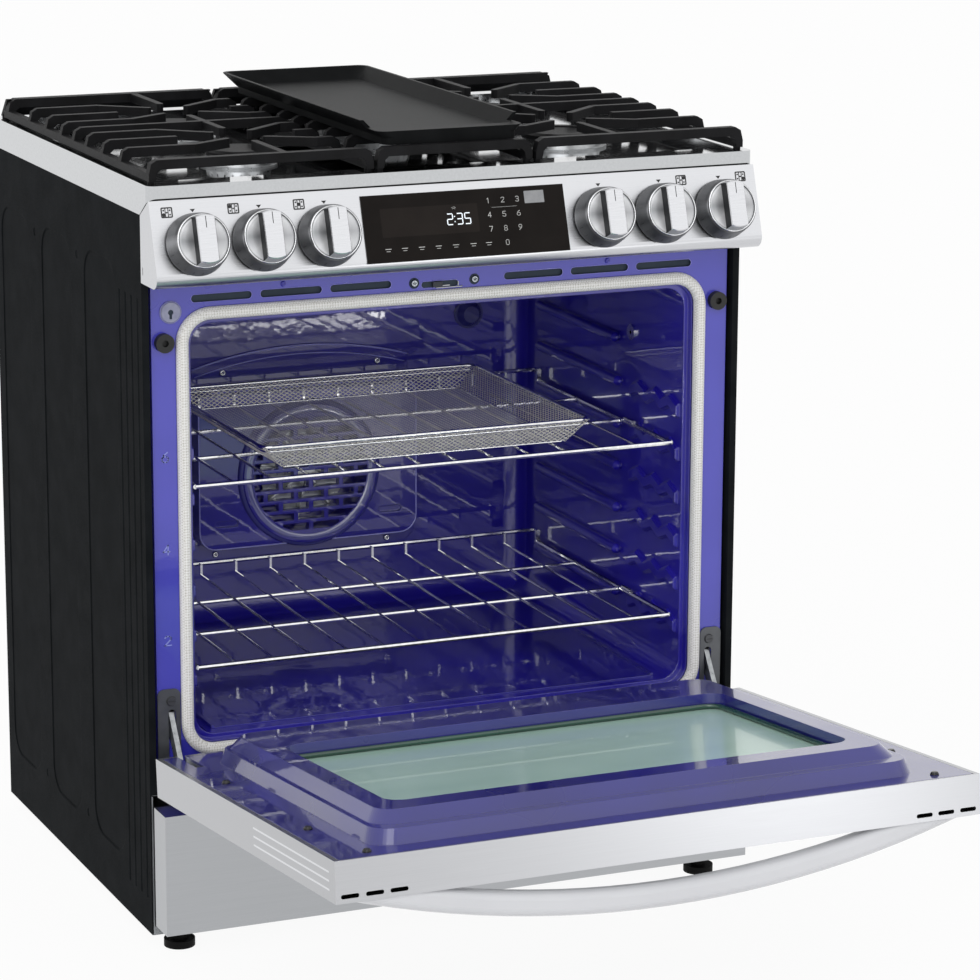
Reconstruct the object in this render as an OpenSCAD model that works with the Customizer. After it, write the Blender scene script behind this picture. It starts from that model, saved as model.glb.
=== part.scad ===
// Freestanding gas range, 30 inch class, modelled with its oven door open.
// x to the right, y to the back, z up; origin on the floor in the middle of the whole outline.
// Lengths in millimetres. Most parts are placed from the front face of the enamelled frame.

/* [Body] */
// Width over the cooktop
width = 759; // [720:1:800]
// Height of the cooktop rim above the floor
top_z = 914; // [890:1:940]
// Depth of the body behind the front frame face
depth = 582; // [560:1:620]
// Distance of the front frame face from the origin
frame_y = 14.2; // [0:0.1:40]
// Sheet thickness of panels and frame
sheet = 1.5; // [1:0.1:2]
// Lower edge of the side panels above the floor
base_z = 19.5; // [12:0.5:30]
// How far the side panel fronts stand ahead of the frame face
strip_out = 7.2; // [6:0.5:14]
// Width of the side panel front strips
strip_w = 8.3; // [6:0.1:12]
// Height of the oven deck that closes the drawer space
deck_z = 190; // [180:1:200]
// Running gap between parts that only rest against each other
fit = 0.1; // [0.05:0.05:0.3]
// Radius of a foot
foot_r = 18.5; // [14:0.5:24]
// Levelling feet inside the body's side
foot_in = 36.5; // [30:0.5:60]

/* [Front frame] */
// Latch slot below the frame's upper edge
latch_down = 30.4; // [26:0.1:34]
// Step from the body's side to the edge of the front frame
frame_in = 13; // [8:0.5:30]
// Front frame's upper edge below the cooktop
frame_down = 115; // [100:1:140]
// Middle of the vent slots below the frame's upper edge
vent_down = 22.8; // [15:0.1:30]
// Vent slot height
vent_h = 9.5; // [6:0.5:12]

/* [Oven] */
// Oven wall inside the seal's centre line
oven_in = 14.2; // [12:0.1:30]
// Room behind the oven's rear wall for fan and wiring
back_room = 84; // [75:1:140]
// Corner radius of the cavity
oven_r = 25; // [15:1:40]
// Seal's centre line inside the edge of the front frame
seal_in = 36.8; // [32:0.1:50]
// Lower run of the seal above the oven deck
seal_up = 48.3; // [40:0.1:60]
// Upper run of the seal below the frame's upper edge
seal_down = 40.5; // [36:0.1:50]
// Gasket tube radius
seal_r = 7.4; // [5:0.1:9]
// Gasket loop corner radius
seal_bend = 34; // [20:1:60]
// Lowest shelf above the lower run of the seal
rack_up = 92.7; // [60:0.1:120]
// Spacing of the rack levels
rack_pitch = 54.6; // [40:0.1:70]
// Number of rack levels
levels = 6; // [4:1:6]
// Radius of the rack border wire
rod_r = 3; // [2:0.1:4]
// Rack's side play in the oven
rack_play = 5.5; // [3:0.5:12]
// Front of a rack behind the frame face
rack_front = 25; // [23:0.5:60]
// Room behind a rack
rack_back = 67; // [40:1:100]
// Fan's middle above the lower run of the seal
fan_up = 205.2; // [180:0.1:240]

/* [Door] */
// Door's side play against the body's width
door_in = 0.1; // [0:0.05:1]
// Gap over the closed door
door_top_gap = 16; // [12:0.5:24]
// Door thickness without plug and handle
door_t = 45.5; // [40:0.5:50]
// Door's lower edge above the oven deck
door_up = 15; // [10:0.5:20]
// Gap between the frame face and the closed door
door_gap = 8.6; // [8:0.1:12]
// Hinge axis ahead of the door's inner face
hinge_in = 32.5; // [28:0.1:36]
// Hinge axis above the door's lower edge
hinge_up = 7.2; // [6:0.1:12]
// How far the door stands open
door_open = 84.13; // [0:0.01:86]
// Height of the plug
plug_h = 30; // [20:1:34]
// Height of the plug's outer step
step_h = 16.7; // [10:0.1:20]
// Steel of the door beside its window
win_side = 102.4; // [95:0.1:140]
// Hinge's middle inside the edge of the front frame
hinge_side = 17.5; // [14:0.5:22]
// Radius of the hinge pin
pin_r = 4; // [3:0.1:5]
// Radius of the handle bow
bow_r = 1234; // [900:1:2000]
// Outer reach of the handle from the inner face
handle_out = 100; // [85:1:110]

/* [Controls] */
// Length of the sloping control face
panel_len = 98.5; // [90:0.1:110]
// Lean of the control face above level
panel_lean = 71.66; // [60:0.01:85]
// Top edge of the control face ahead of the frame face
panel_out = 37.6; // [30:0.1:45]
// Innermost knobs' distance from the middle
knob_first = 172.2; // [150:0.1:190]
// Spacing of the knobs
knob_step = 78.8; // [74:0.1:84]
// Knob axis below the top edge of the control face
knob_down = 52.5; // [40:0.5:60]
// Radius of the knob skirt
knob_r = 36; // [28:0.5:40]
// Height of the knob's round face above the control face
knob_face = 31; // [24:0.5:36]
// Height of the grip above the knob's round face
grip_h = 14; // [8:0.5:18]
// Radius of a valve stem
stem_r = 4; // [3:0.1:5]
// How far a knob is pushed in to turn it
push = 2.5; // [1:0.1:4]
// Half width of the display glass
glass_w = 127.2; // [100:0.1:150]

/* [Top] */
// Depth of the cooktop well
well = 9.4; // [6:0.1:14]
// Height of the grate tops above the rim
grate_h = 27; // [20:0.5:40]
// Width of a grate bar
bar_w = 9; // [7:0.5:12]
// Grates' outer edge inside the cooktop's edge
grate_side = 6.5; // [4:0.5:12]
// Inner edge of the side grates
grate_in = 102; // [98:0.5:110]
// Half width of the centre grate
mid_w = 97.5; // [90:0.5:102]
// Burner distance from the middle
burner_x = 208; // [195:1:225]
// Front burners behind the frame face
burner_front = 142; // [120:1:160]
// Rear burners behind the frame face
burner_back = 374; // [350:1:400]
// Distance from a burner's middle where the long bars bend
elbow = 76; // [60:1:85]
// Distance from a burner's middle where the short bars end
eye_side = 73; // [60:1:85]
// Sideways and lengthways distance of the bent tips from a burner's middle
eye_tip = 28; // [20:1:40]
// Distance of the lengthwise fingers from a burner's middle
eye_end = 57; // [40:1:65]
// Half width of the griddle rim
griddle_w = 99; // [90:0.5:110]

/* [Drawer] */
// Lower edge of the drawer front
drawer_low = 34.5; // [30:0.5:45]
// Upper edge of the drawer front
drawer_high = 180.6; // [170:0.1:186]
// Drawer front face ahead of the frame face
drawer_out = 58; // [50:0.5:65]
// Drawer's side inside the body's side
drawer_in = 41.5; // [38:0.5:60]

/* [Hidden] */
$fn = 48;
half = width / 2;
frame_w = half - frame_in;
frame_top = top_z - frame_down;
vent_z = frame_top - vent_down;
latch_z = frame_top - latch_down;
seal_w = frame_w - seal_in;
seal_low = deck_z + seal_up;
seal_high = frame_top - seal_down;
oven_w = seal_w - oven_in;
oven_d = depth - back_room;
rack_w = oven_w - rack_play;
rack_z = seal_low + rack_up;
rack_len = oven_d - rack_front - rack_back;
fan_z = seal_low + fan_up;
door_w = width - 2 * door_in;
door_low = deck_z + door_up;
door_h = frame_top - door_top_gap - door_low;
hinge_x = frame_w - hinge_side;
win_w = door_w / 2 - win_side;
grate_out = half - grate_side;
foot_x = half - foot_in;
drawer_w = half - drawer_in;
foot_y = [2, depth - 42];
side_x = half - 0.2;
trim_z = top_z - 36.3;
panel_top = top_z - 16.5;
pr = panel_lean;
nose_r = 14;
panel_low = panel_top - panel_len * sin(pr) - 4;
nose_y = -panel_out + (nose_r - (panel_top - panel_low - nose_r) * cos(pr)) / sin(pr);
seal_y = seal_r + fit - door_gap;
mouth_w = seal_w - 8.8;
mouth_low = seal_low + 8.8;
mouth_high = seal_high - 8.8;
oven_low = seal_low + seal_w - oven_w;
oven_high = seal_high - seal_w + oven_w;
wall = 1.5;
pivot_y = -door_gap - hinge_in;
pivot_z = door_low + hinge_up;
slot_z = pivot_z + 41.8;
grate_z = top_z + grate_h;
rear = depth - sheet;
knob_x = [knob_first, knob_first + knob_step, knob_first + 2 * knob_step];
dw = door_w / 2;
bars_mid = 264;
bar_outer = 180;
bar_short = 112;
bar_inner = 50;

// ---------- helpers ----------
module at_frame() translate([0, frame_y, 0]) children();
module both() { children(); mirror([1, 0, 0]) children(); }
module box(a, b) translate(a) cube([b[0] - a[0], b[1] - a[1], b[2] - a[2]]);
// flat shape standing across the range, between two depths
module xz(y0, y1) translate([0, y1, 0]) rotate([90, 0, 0]) linear_extrude(y1 - y0) children();
// flat shape seen from the side, between two x positions
module yz(x0, x1) translate([x0, 0, 0]) rotate([90, 0, 90]) linear_extrude(x1 - x0) children();
// rounded rectangle from corner to corner
module rr(x0, x1, y0, y1, r) {
  translate([x0 + r, y0]) square([x1 - x0 - 2 * r, y1 - y0]);
  translate([x0, y0 + r]) square([x1 - x0, y1 - y0 - 2 * r]);
  for (x = [x0 + r, x1 - r], y = [y0 + r, y1 - r]) translate([x, y]) circle(r);
}
// round bar between two points that share two coordinates
module rodx(x0, x1, y, z, r) translate([x0, y, z]) rotate([0, 90, 0]) cylinder(r = r, h = x1 - x0);
module rody(x, y0, y1, z, r) translate([x, y0, z]) rotate([-90, 0, 0]) cylinder(r = r, h = y1 - y0);
module on_panel() translate([0, -panel_out, panel_top]) rotate([pr, 0, 0]) children();
module at_knob(k) on_panel()
  translate([k < 4 ? -knob_x[3 - k] : knob_x[k - 4], -knob_down, 0]) children();
module in_door() translate([0, pivot_y, pivot_z]) rotate([door_open, 0, 0])
  translate([0, hinge_in, -hinge_up]) children();

// ---------- body ----------
fields = 3;
field_gap = 52;
field_first = 90;
field_w = (depth - 26 - field_first + field_gap) / fields - field_gap;
field_low = base_z + 65.5;
field_high = trim_z - 70;
function field_at(k) = field_first + k * (field_w + field_gap);
module side_panel() color("#2b2d2f") {
  difference() {
    union() {
      yz(side_x - sheet, side_x) polygon([[-strip_out, base_z], [depth, base_z], [depth, trim_z],
        [-6.4, trim_z], [-6.4, frame_top + 0.5], [-strip_out, frame_top + 0.5]]);
      box([side_x - strip_w, -strip_out, deck_z + 2], [side_x, -strip_out + sheet, frame_top + 0.5]);
      box([side_x - strip_w, -strip_out, deck_z + 2], [side_x - strip_w + sheet, 13.4, frame_top + 0.5]);
      box([side_x - 18, rear, base_z], [side_x, depth, trim_z]);
    }
    // pressed fields with stepped edges, which stiffen the sheet, and dimples between them
    for (k = [0:fields - 1], i = [0:2])
      yz(side_x - 0.3 * (i + 1), side_x + 1) rr(field_at(k) + i, field_at(k) + field_w - i,
        field_low + i, field_high - i, 34 - i);
    for (k = [1:fields - 1], z = [field_low + 12, field_high - 14])
      rodx(side_x - 0.6, side_x + 1, field_at(k) - field_gap / 2, z, 5);
    // round beads near the front edge
    for (i = [0:3]) translate([side_x + 5.1, 8 + i * 22, 62]) cylinder(r = 6, h = trim_z - 160);
  }
}
module side_panel_left() at_frame() mirror([1, 0, 0]) side_panel();
module side_panel_right() at_frame() side_panel();

inlet_x = half - 79.5;
inlet_z = top_z - 72;
cord_x = 79.5 - half;
cord_z = 120;
module rear_panel() at_frame() color("#8d9092") difference() {
  box([-side_x + sheet, rear - sheet, base_z + 3], [side_x - sheet, rear, trim_z]);
  translate([inlet_x, 0, inlet_z]) rotate([-90, 0, 0]) cylinder(r = 20, h = depth);
  translate([cord_x, 0, cord_z]) rotate([-90, 0, 0]) cylinder(r = 11, h = depth);
  for (i = [0:11]) xz(rear - 3, rear + 1) translate([-220 + i * 40, 0]) {
    rr(-3, 3, frame_top + 1, frame_top + 51, 2.9);
    rr(-3, 3, 60, 100, 2.9);
  }
}

module base_frame() at_frame() color("#6f7275") difference() {
  union() {
    box([-side_x + sheet, -8, base_z], [side_x - sheet, rear - sheet, base_z + sheet]);
    both() box([side_x - 2 * sheet, -8, base_z], [side_x - sheet, rear - sheet, deck_z]);
    both() box([side_x - 22, -8, base_z], [side_x - sheet, 30, base_z + 10]);
    box([-side_x + sheet, 0, deck_z - sheet], [side_x - sheet, rear - sheet, deck_z]);
    box([-side_x + sheet, rear - 2 * sheet, base_z], [side_x - sheet, rear - sheet, deck_z]);
  }
  for (x = [-foot_x, foot_x], y = foot_y) translate([x, y, 0]) cylinder(r = 5.1, h = 60);
  translate([cord_x, 0, cord_z]) rotate([-90, 0, 0]) cylinder(r = 11, h = depth);
}

module levelling_feet() at_frame() color("#3c3e40")
  for (x = [-foot_x, foot_x], y = foot_y) translate([x, y, 0]) {
    cylinder(r = foot_r, h = 9);
    translate([0, 0, 9]) cylinder(r = 9, h = base_z - 9);
    cylinder(r = 5, h = base_z + 14);
  }

module drawer_rails() at_frame() color("#a9acad") both() difference() {
  union() {
    box([drawer_w + 8, 4, 70], [drawer_w + 14, depth - 22, 96]);
    for (y = [30, 270, 500])
      box([drawer_w + 14, y, 74], [side_x - 2 * sheet, y + 30, 92]);
  }
  box([drawer_w + 7, 3, 77.9], [drawer_w + 11, depth - 30, 88.1]);
}

// ---------- front frame ----------
// three vent slots on each side of the middle
module vents() both() for (v = [[295, 218.5], [208.5, 132.5], [122.5, 48.5]])
  rr(frame_w - v[0], frame_w - v[1], vent_z - vent_h / 2, vent_z + vent_h / 2, vent_h / 2 - 0.1);
// slot the hinge arm passes through
module hinge_slot() rr(hinge_x - 5, hinge_x + 5, slot_z, slot_z + 38, 4.9);
module front_frame() at_frame() color("#5f5dbd") {
  difference() {
    xz(0, sheet) difference() {
      rr(-frame_w, frame_w, deck_z + fit, frame_top, 2);
      seal_outline(seal_r + fit);
      vents();
      rr(-34, 13, latch_z, latch_z + 8, 3.9);
      both() hinge_slot();
    }
  }
  both() {
    box([frame_w - sheet, sheet, deck_z + fit], [frame_w, 15, frame_top]);
    box([frame_w - sheet, 13.5, deck_z + fit], [side_x - sheet - fit, 15, frame_top]);
  }
  box([-frame_w + sheet, sheet, deck_z + fit], [frame_w - sheet, 16, deck_z + fit + sheet]);
  box([-frame_w + sheet, sheet, frame_top - sheet], [frame_w - sheet, 30, frame_top]);
}

// ---------- oven ----------
lamp_x = oven_w - 77.5;
lamp_z = seal_high - 126.5;
probe_y = 155;
probe_z = seal_high - 95.5;
sensor_x = 135.5 - oven_w;
sensor_z = seal_high - 53.5;
bake_w = oven_w - 65.5;
bake_y = oven_d - 58;
bake_z = seal_low - 24.3;
pipe_y = bake_y - 15;
broil_y = oven_d - 68;
module mouth(g) rr(-mouth_w - g, mouth_w + g, mouth_low - g, mouth_high + g, seal_bend - 8.8 + g);
module oven_outline(g) rr(-oven_w - g, oven_w + g, oven_low - g, oven_high + g, oven_r + g);
module seal_outline(g)
  rr(-seal_w - g, seal_w + g, seal_low - g, seal_high + g, seal_bend + g);
// room inside the oven, rounded along the edges of its rear wall
module oven_space(y0, g) intersection() {
  xz(y0, oven_d + g) oven_outline(g);
  translate([0, 0, oven_low - 9]) linear_extrude(oven_high - oven_low + 18)
    rr(-oven_w - g, oven_w + g, -60, oven_d + g, oven_r + g);
  yz(-oven_w - 9, oven_w + 9) rr(-60, oven_d + g, oven_low - g, oven_high + g, oven_r + g);
}
wave = 22;
wave_n = 6;
ladder_y = 20;
bead_y = ladder_y + wave * wave_n + 33;
bead_r = 6.5;
relief = rack_play - 0.3;
function crest(i) = i % 2 == 0 ? -3 : 6;
// one wavy step of the pressed ladders beside the racks, level with a rack's side wire
module ladder_step(g) polygon(concat(
  [for (i = [0:wave_n]) [ladder_y + i * wave, crest(i) - rod_r - g]],
  [for (i = [wave_n:-1:0]) [ladder_y + i * wave, crest(i) - rod_r - 17 + g]]));
module oven_relief() {
  both() {
    // a short bead above the highest level stands alone
    for (i = [0:levels]) translate([0, 0, rack_z + i * rack_pitch]) {
      if (i < levels) {
        yz(oven_w - relief * 0.55, oven_w + 0.5) ladder_step(0);
        yz(oven_w - relief, oven_w + 0.5) ladder_step(2.2);
      }
      // bead that carries the rack behind the ladder
      x = oven_w - 4.5;
      z = -sqrt(pow(bead_r + rod_r + 0.05, 2) - pow(x - rack_w + rod_r, 2));
      y0 = i < levels ? bead_y : probe_y + 40;
      rody(x, y0, oven_d - 70, z, bead_r);
      translate([x, y0, z]) rotate([90, 0, 0]) cylinder(r1 = bead_r, r2 = 2, h = 6);
      translate([x, oven_d - 70, z]) rotate([-90, 0, 0]) cylinder(r1 = bead_r, r2 = 2, h = 6);
    }
  }
  // pressed field low on the rear wall, with a raised middle
  for (i = [0:1]) xz(oven_d - 1.5 - 1.5 * i, oven_d + 0.5) {
    translate([0, i ? -2 : 0]) polygon([[-250, oven_low + 20], [250, oven_low + 20], [250, seal_low + 20],
      [76, seal_low + 20], [42, seal_low + 70], [-42, seal_low + 70], [-76, seal_low + 20],
      [-250, seal_low + 20]]);
  }
}
module oven_cavity() at_frame() color("#241f86") {
  difference() {
    union() {
      oven_space(12, wall);
      xz(2.6, 13.5) mouth(wall);
      box([-bake_w - wall, 60 - wall, bake_z - wall], [bake_w + wall, bake_y + wall, oven_low]);
      // flange that carries the seal and bears on the back of the frame
      difference() {
        xz(sheet, seal_y + seal_r + wall) seal_outline(9.9);
        xz(0, seal_y + seal_r) seal_outline(8.4);
      }
    }
    difference() {
      oven_space(11, 0);
      oven_relief();
    }
    xz(-1, 12) mouth(0);
    box([-bake_w, 60, bake_z], [bake_w, bake_y, oven_low + 1]);
    translate([0, oven_d - 2, fan_z]) rotate([-90, 0, 0]) cylinder(r = 8, h = 10);
    translate([lamp_x, oven_d - 2, lamp_z]) rotate([-90, 0, 0]) cylinder(r = 15, h = 10);
    translate([sensor_x, oven_d - 2, sensor_z]) rotate([-90, 0, 0]) cylinder(r = 3.1, h = 10);
    rodx(oven_w - 2, oven_w + 5, probe_y, probe_z, 6);
    translate([0, pipe_y, bake_z - 14]) cylinder(r = 11, h = 20);
    box([-70, broil_y + 8, oven_high - 1], [70, broil_y + 38, oven_high + 3]);
    rody(0, oven_d - 30, oven_d + 10, oven_high - 14, 8.05);
  }
}

module oven_floor() at_frame() color("#272290") {
  w = oven_w - 25.5;
  box([-w, 30, oven_low], [w, oven_d - 28, oven_low + 1.5]);
  both() box([w - 4, 30, oven_low], [w, oven_d - 28, oven_low + 4]);
}

module insulation_wrap() at_frame() color("#d8d2bd") difference() {
  box([-oven_w - 25.5, 16, deck_z + 2], [oven_w + 25.5, oven_d + 32, vent_z - vent_h / 2 - 4]);
  xz(15, oven_d + wall + fit) oven_outline(wall + fit);
  box([-bake_w - 2, 55, bake_z - 2], [bake_w + 2, bake_y + 5, oven_low + 60]);
  translate([0, oven_d - 18, fan_z]) rotate([-90, 0, 0]) cylinder(r = motor_r + 1, h = 60);
  translate([lamp_x, oven_d - 18, lamp_z]) rotate([-90, 0, 0]) cylinder(r = 17, h = 60);
  translate([sensor_x, oven_d - 18, sensor_z]) rotate([-90, 0, 0]) cylinder(r = 8, h = 60);
  rodx(oven_w - 2, oven_w + 34.5, probe_y, probe_z, 9);
  translate([0, pipe_y, deck_z - 10]) cylinder(r = 12, h = 40);
  box([-72, broil_y + 6, oven_high - 4], [72, broil_y + 40, oven_high + 40]);
  rody(0, oven_d - 5, oven_d + 40, oven_high - 14, 12);
}

motor_r = 60;
ring_r = 98;
grille_r = 79;
cover_out = 31;
module fan_cover() at_frame() color("#2b26a0") difference() {
  face = oven_d - cover_out;
  top = fan_z + 141.5;
  union() {
    // pressed plate with an arched top, raised field and round bezel
    xz(oven_d - 2, oven_d) union() {
      translate([0, fan_z]) polygon([[-146, -113.5], [146, -113.5], [160, -99.5], [150, 141.5],
        [-150, 141.5], [-160, -99.5]]);
      intersection() {
        translate([0, top + 22 - 520]) circle(520, $fn = 200);
        translate([-150, top - 5]) square([300, 60]);
      }
    }
    xz(face, oven_d - 2) rr(-152, 152, fan_z - 93.5, fan_z + 116.5, 24);
    translate([0, face, fan_z]) rotate([90, 0, 0]) cylinder(r1 = ring_r, r2 = ring_r - 6, h = 7.6);
  }
  translate([0, face + 4, fan_z]) rotate([-90, 0, 0]) cylinder(r = grille_r, h = cover_out + 10);
  // bars of the grille, staggered rows of slots
  translate([0, face - 11, 0]) rotate([90, 0, 0]) translate([0, 0, -20]) linear_extrude(22)
    intersection() {
      translate([0, fan_z]) circle(grille_r);
      for (i = [-5:5], j = [-3:3])
        translate([j * 42 + (i % 2 == 0 ? 0 : 21) - 18, fan_z + i * 14 - 4.5]) square([36, 9]);
    }
  for (x = [-114, 114]) xz(face - 7, face + 3) translate([x, fan_z - 59.5]) rr(-16, 16, -4, 4, 3.9);
}

module fan_blade() at_frame() color("#9fa2a4") translate([0, oven_d - 22, fan_z]) rotate([-90, 0, 0]) {
  cylinder(r = 12, h = 10);
  cylinder(r = pin_r, h = 80);
  for (a = [0:45:315]) rotate([0, 0, a]) translate([8, 0, 0]) rotate([0, 0, 12]) cube([56, 2, 14]);
  translate([0, 0, 12]) cylinder(r = 60, h = 1.5);
}

module fan_motor() at_frame() color("#55585a") difference() {
  translate([0, oven_d + wall, fan_z]) rotate([-90, 0, 0]) {
    cylinder(r = motor_r, h = 2);
    cylinder(r = 18, h = 36);
    translate([0, 0, 34]) cylinder(r = 44, h = 36);
  }
  translate([0, oven_d - 18, fan_z]) rotate([-90, 0, 0]) cylinder(r = pin_r + 0.05, h = 80);
}

module oven_lamp() at_frame() color("#e8e2c8") translate([lamp_x, oven_d, lamp_z])
  rotate([90, 0, 0]) {
    cylinder(r = 20, h = 4);
    translate([0, 0, 4]) cylinder(r1 = 17, r2 = 11, h = 9);
    translate([0, 0, -30]) cylinder(r = 14.9, h = 30);
  }

module temperature_sensor() at_frame() color("#b9bcbe") translate([sensor_x, oven_d - 68, sensor_z])
  rotate([-90, 0, 0]) {
    cylinder(r = 3, h = 90);
    translate([0, 0, 66]) cylinder(r = 12, h = 2);
  }

module probe_socket() at_frame() color("#c9cbcc") difference() {
  union() {
    rodx(oven_w - 3, oven_w, probe_y, probe_z, 10);
    rodx(oven_w - 3, oven_w + 20.5, probe_y, probe_z, 5.9);
  }
  rodx(oven_w - 4, oven_w + 14.5, probe_y, probe_z, 2.4);
}

module broil_burner() at_frame() color("#8e8f90") {
  z = oven_high;
  box([-55, 150, z - 22], [55, broil_y, z - 10]);
  box([-35, 150, z - 10], [35, broil_y, z - 6]);
  for (y = [165, broil_y - 30]) box([-70, y, z - 6], [70, y + 14, z]);
  rody(0, broil_y, oven_d + 12, z - 14, 8);
}

module bake_burner() at_frame() color("#8e8f90") {
  x = bake_w - 110; y0 = 90; y1 = bake_y - 30; z = bake_z + 18;
  for (s = [-x, x]) rody(s, y0, y1, z, 9);
  for (y = [y0, y1]) rodx(-x, x, y, z, 9);
  for (s = [-x, x], y = [y0 + 30, y1 - 30]) box([s - 4, y - 4, bake_z], [s + 4, y + 4, z - 6]);
  translate([0, pipe_y, bake_z - 9]) cylinder(r = 10.9, h = 27);
  box([-8, y1 - 5, z - 6], [8, pipe_y, z + 6]);
}

module seal_corner(x, z, a) translate([x, seal_y, z]) rotate([90, 0, 0]) rotate([0, 0, a])
  rotate_extrude(angle = 90) translate([seal_bend, 0]) circle(seal_r, $fn = 24);
module door_gasket() at_frame() color("#cfcabd") {
  b = seal_bend;
  both() {
    seal_corner(seal_w - b, seal_high - b, 0);
    seal_corner(seal_w - b, seal_low + b, 270);
    translate([seal_w, seal_y, seal_low + b])
      cylinder(r = seal_r, h = seal_high - seal_low - 2 * b, $fn = 24);
  }
  for (z = [seal_low, seal_high])
    translate([-seal_w + b, seal_y, z]) rotate([0, 90, 0])
      cylinder(r = seal_r, h = 2 * (seal_w - b), $fn = 24);
}

module door_latch() at_frame() color("#b4b6b8") difference() {
  union() {
    box([-52, sheet, latch_z - 0.1], [42, 4, latch_z + 19]);
    box([-36, 4, latch_z - 0.1], [15, 15.5, latch_z + 19]);
    box([-20, -3, latch_z + 1], [-8, 4, latch_z + 7]);
  }
  box([-34, 5, latch_z + 1.5], [13, 16, latch_z + 17]);
}

module bumper(x, z) translate([x, 0, z]) rotate([90, 0, 0]) difference() {
  cylinder(r = 11, h = door_gap - 0.1);
  translate([0, 0, 3]) cylinder(r = 4, h = 10);
}
module frame_bumpers() at_frame() color("#2c2b2e") {
  both() bumper(frame_w - 14.5, frame_top - 71);
  translate([23.5 - frame_w, 0, frame_top - 36.5]) rotate([90, 0, 0]) difference() {
    cylinder(r = 11.5, h = 2);
    translate([0, 0, 1]) cylinder(r = 3.2, h = 3);
    translate([-1.6, -8, 1]) cube([3.2, 8, 3]);
  }
}

module screw(x, z, y, r) translate([x, y, z]) rotate([90, 0, 0]) difference() {
  cylinder(r1 = r, r2 = r - 1, h = 2.2);
  translate([-r * 0.6, -0.5, 1.4]) cube([r * 1.2, 1, 2]);
}
module frame_screws() at_frame() color("#b9bbbd") {
  screw(-43, latch_z + 6.9, 0, 4.5);
  screw(33.6, latch_z + 6.9, 0, 4.5);
  both() {
    screw(hinge_x + 1, slot_z + 48.5, -2, 6);
    screw(frame_w - 160.5, frame_top - 13, 0, 3.4);
  }
}

module hinge_plates() at_frame() color("#6c6b70") both() difference() {
  union() {
    xz(-2, 0) rr(hinge_x - 10.5, frame_w, slot_z - 29, slot_z + 63, 8);
    // cheeks behind the frame that hold the arm
    for (x = [hinge_x - 6.1, hinge_x + 3.1]) box([x, sheet, slot_z - 4], [x + 3, 44, slot_z + 46]);
    box([hinge_x - 6.1, 41, slot_z - 4], [hinge_x + 6.1, 44, slot_z + 46]);
  }
  xz(-3, sheet) hinge_slot();
  xz(-3, 0.5) rr(hinge_x - 4.2, hinge_x + 4.2, slot_z - 39, slot_z + 8, 4);
}

module hinge_arms() at_frame() color("#d5d7d8") both() difference() {
  union() {
    yz(hinge_x - 3, hinge_x + 3) difference() {
      union() {
        translate([pivot_y, pivot_z]) circle(6.5);
        polygon([[pivot_y + 5.4, pivot_z - 3.6], [pivot_y - 5.4, pivot_z + 3.6], [-9, slot_z + 17],
          [2, slot_z + 34], [40, slot_z + 34], [40, slot_z + 8], [3, slot_z + 8]]);
      }
      translate([pivot_y, pivot_z]) circle(pin_r + 0.05);
    }
  }
}

// ---------- controls ----------
module panel_side(g) offset(delta = -g) union() {
  polygon([[-panel_out, panel_top],
    [nose_y - nose_r * sin(pr), panel_low + nose_r + nose_r * cos(pr)], [nose_y, panel_low + 12],
    [nose_y, panel_low], [-7, panel_low], [-7, trim_z - 0.4]]);
  translate([nose_y, panel_low + nose_r]) circle(nose_r);
}
module control_panel() at_frame() color("#c9cacb") difference() {
  union() {
    difference() {
      yz(-half, half) panel_side(0);
      yz(-half + 2, half - 2) {
        panel_side(2);
        polygon([[-30, 890], [10, 870], [10, panel_low + 6], [-30, panel_low + 6]]);
      }
    }
    box([-half + 2, -12, panel_low], [half - 2, -7, panel_low + 8]);
  }
  for (k = [1:6]) at_knob(k) translate([0, 0, -6]) cylinder(r = 6, h = 12);
  yz(-half - 1, half + 1) translate([-14.8, 810]) square([1.6, 9]);
}

module control_glass() at_frame() color("#2f2926") on_panel() {
  translate([-glass_w, -88, 0.05]) cube([2 * glass_w, 78.7, 1.2]);
}

module control_board() at_frame() color("#2f6b3c") on_panel() {
  translate([-118, -84, -10]) cube([236, 68, 2]);
  for (x = [-112, 104], y = [-80, -26]) translate([x, y, -8]) cube([8, 6, 6]);
  translate([-60, -60, -24]) cube([90, 34, 14]);
}

pipe = 72;
module gas_manifold() at_frame() color("#a9a59a") {
  difference() {
    union() {
      pin = [-panel_out - knob_down * cos(pr) + pipe * sin(pr),
             panel_top - knob_down * sin(pr) - pipe * cos(pr)];
      rodx(34.5 - half, half - 34.5, pin[0], pin[1], 11);
      for (k = [1:6]) at_knob(k) translate([0, 0, -pipe]) cylinder(r = 12, h = pipe - 13 - push);
      // supply line along the right side to the back
      rody(inlet_x, pin[0], depth - 22, pin[1], 9);
      translate([inlet_x, depth - 26, pin[1] - 13]) cylinder(r = 13, h = inlet_z - pin[1] + 26);
      rody(inlet_x, depth - 37, depth - 4, inlet_z, 14);
      both() box([half - 34.5, pin[0] - 8, pin[1] - 10], [side_x - sheet, pin[0] + 8, pin[1] + 10]);
    }
    for (k = [1:6]) at_knob(k) translate([0, 0, -50]) cylinder(r = stem_r + 0.05, h = 60);
    rody(inlet_x, depth - 22, depth + 5, inlet_z, 9.3);
  }
}

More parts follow.
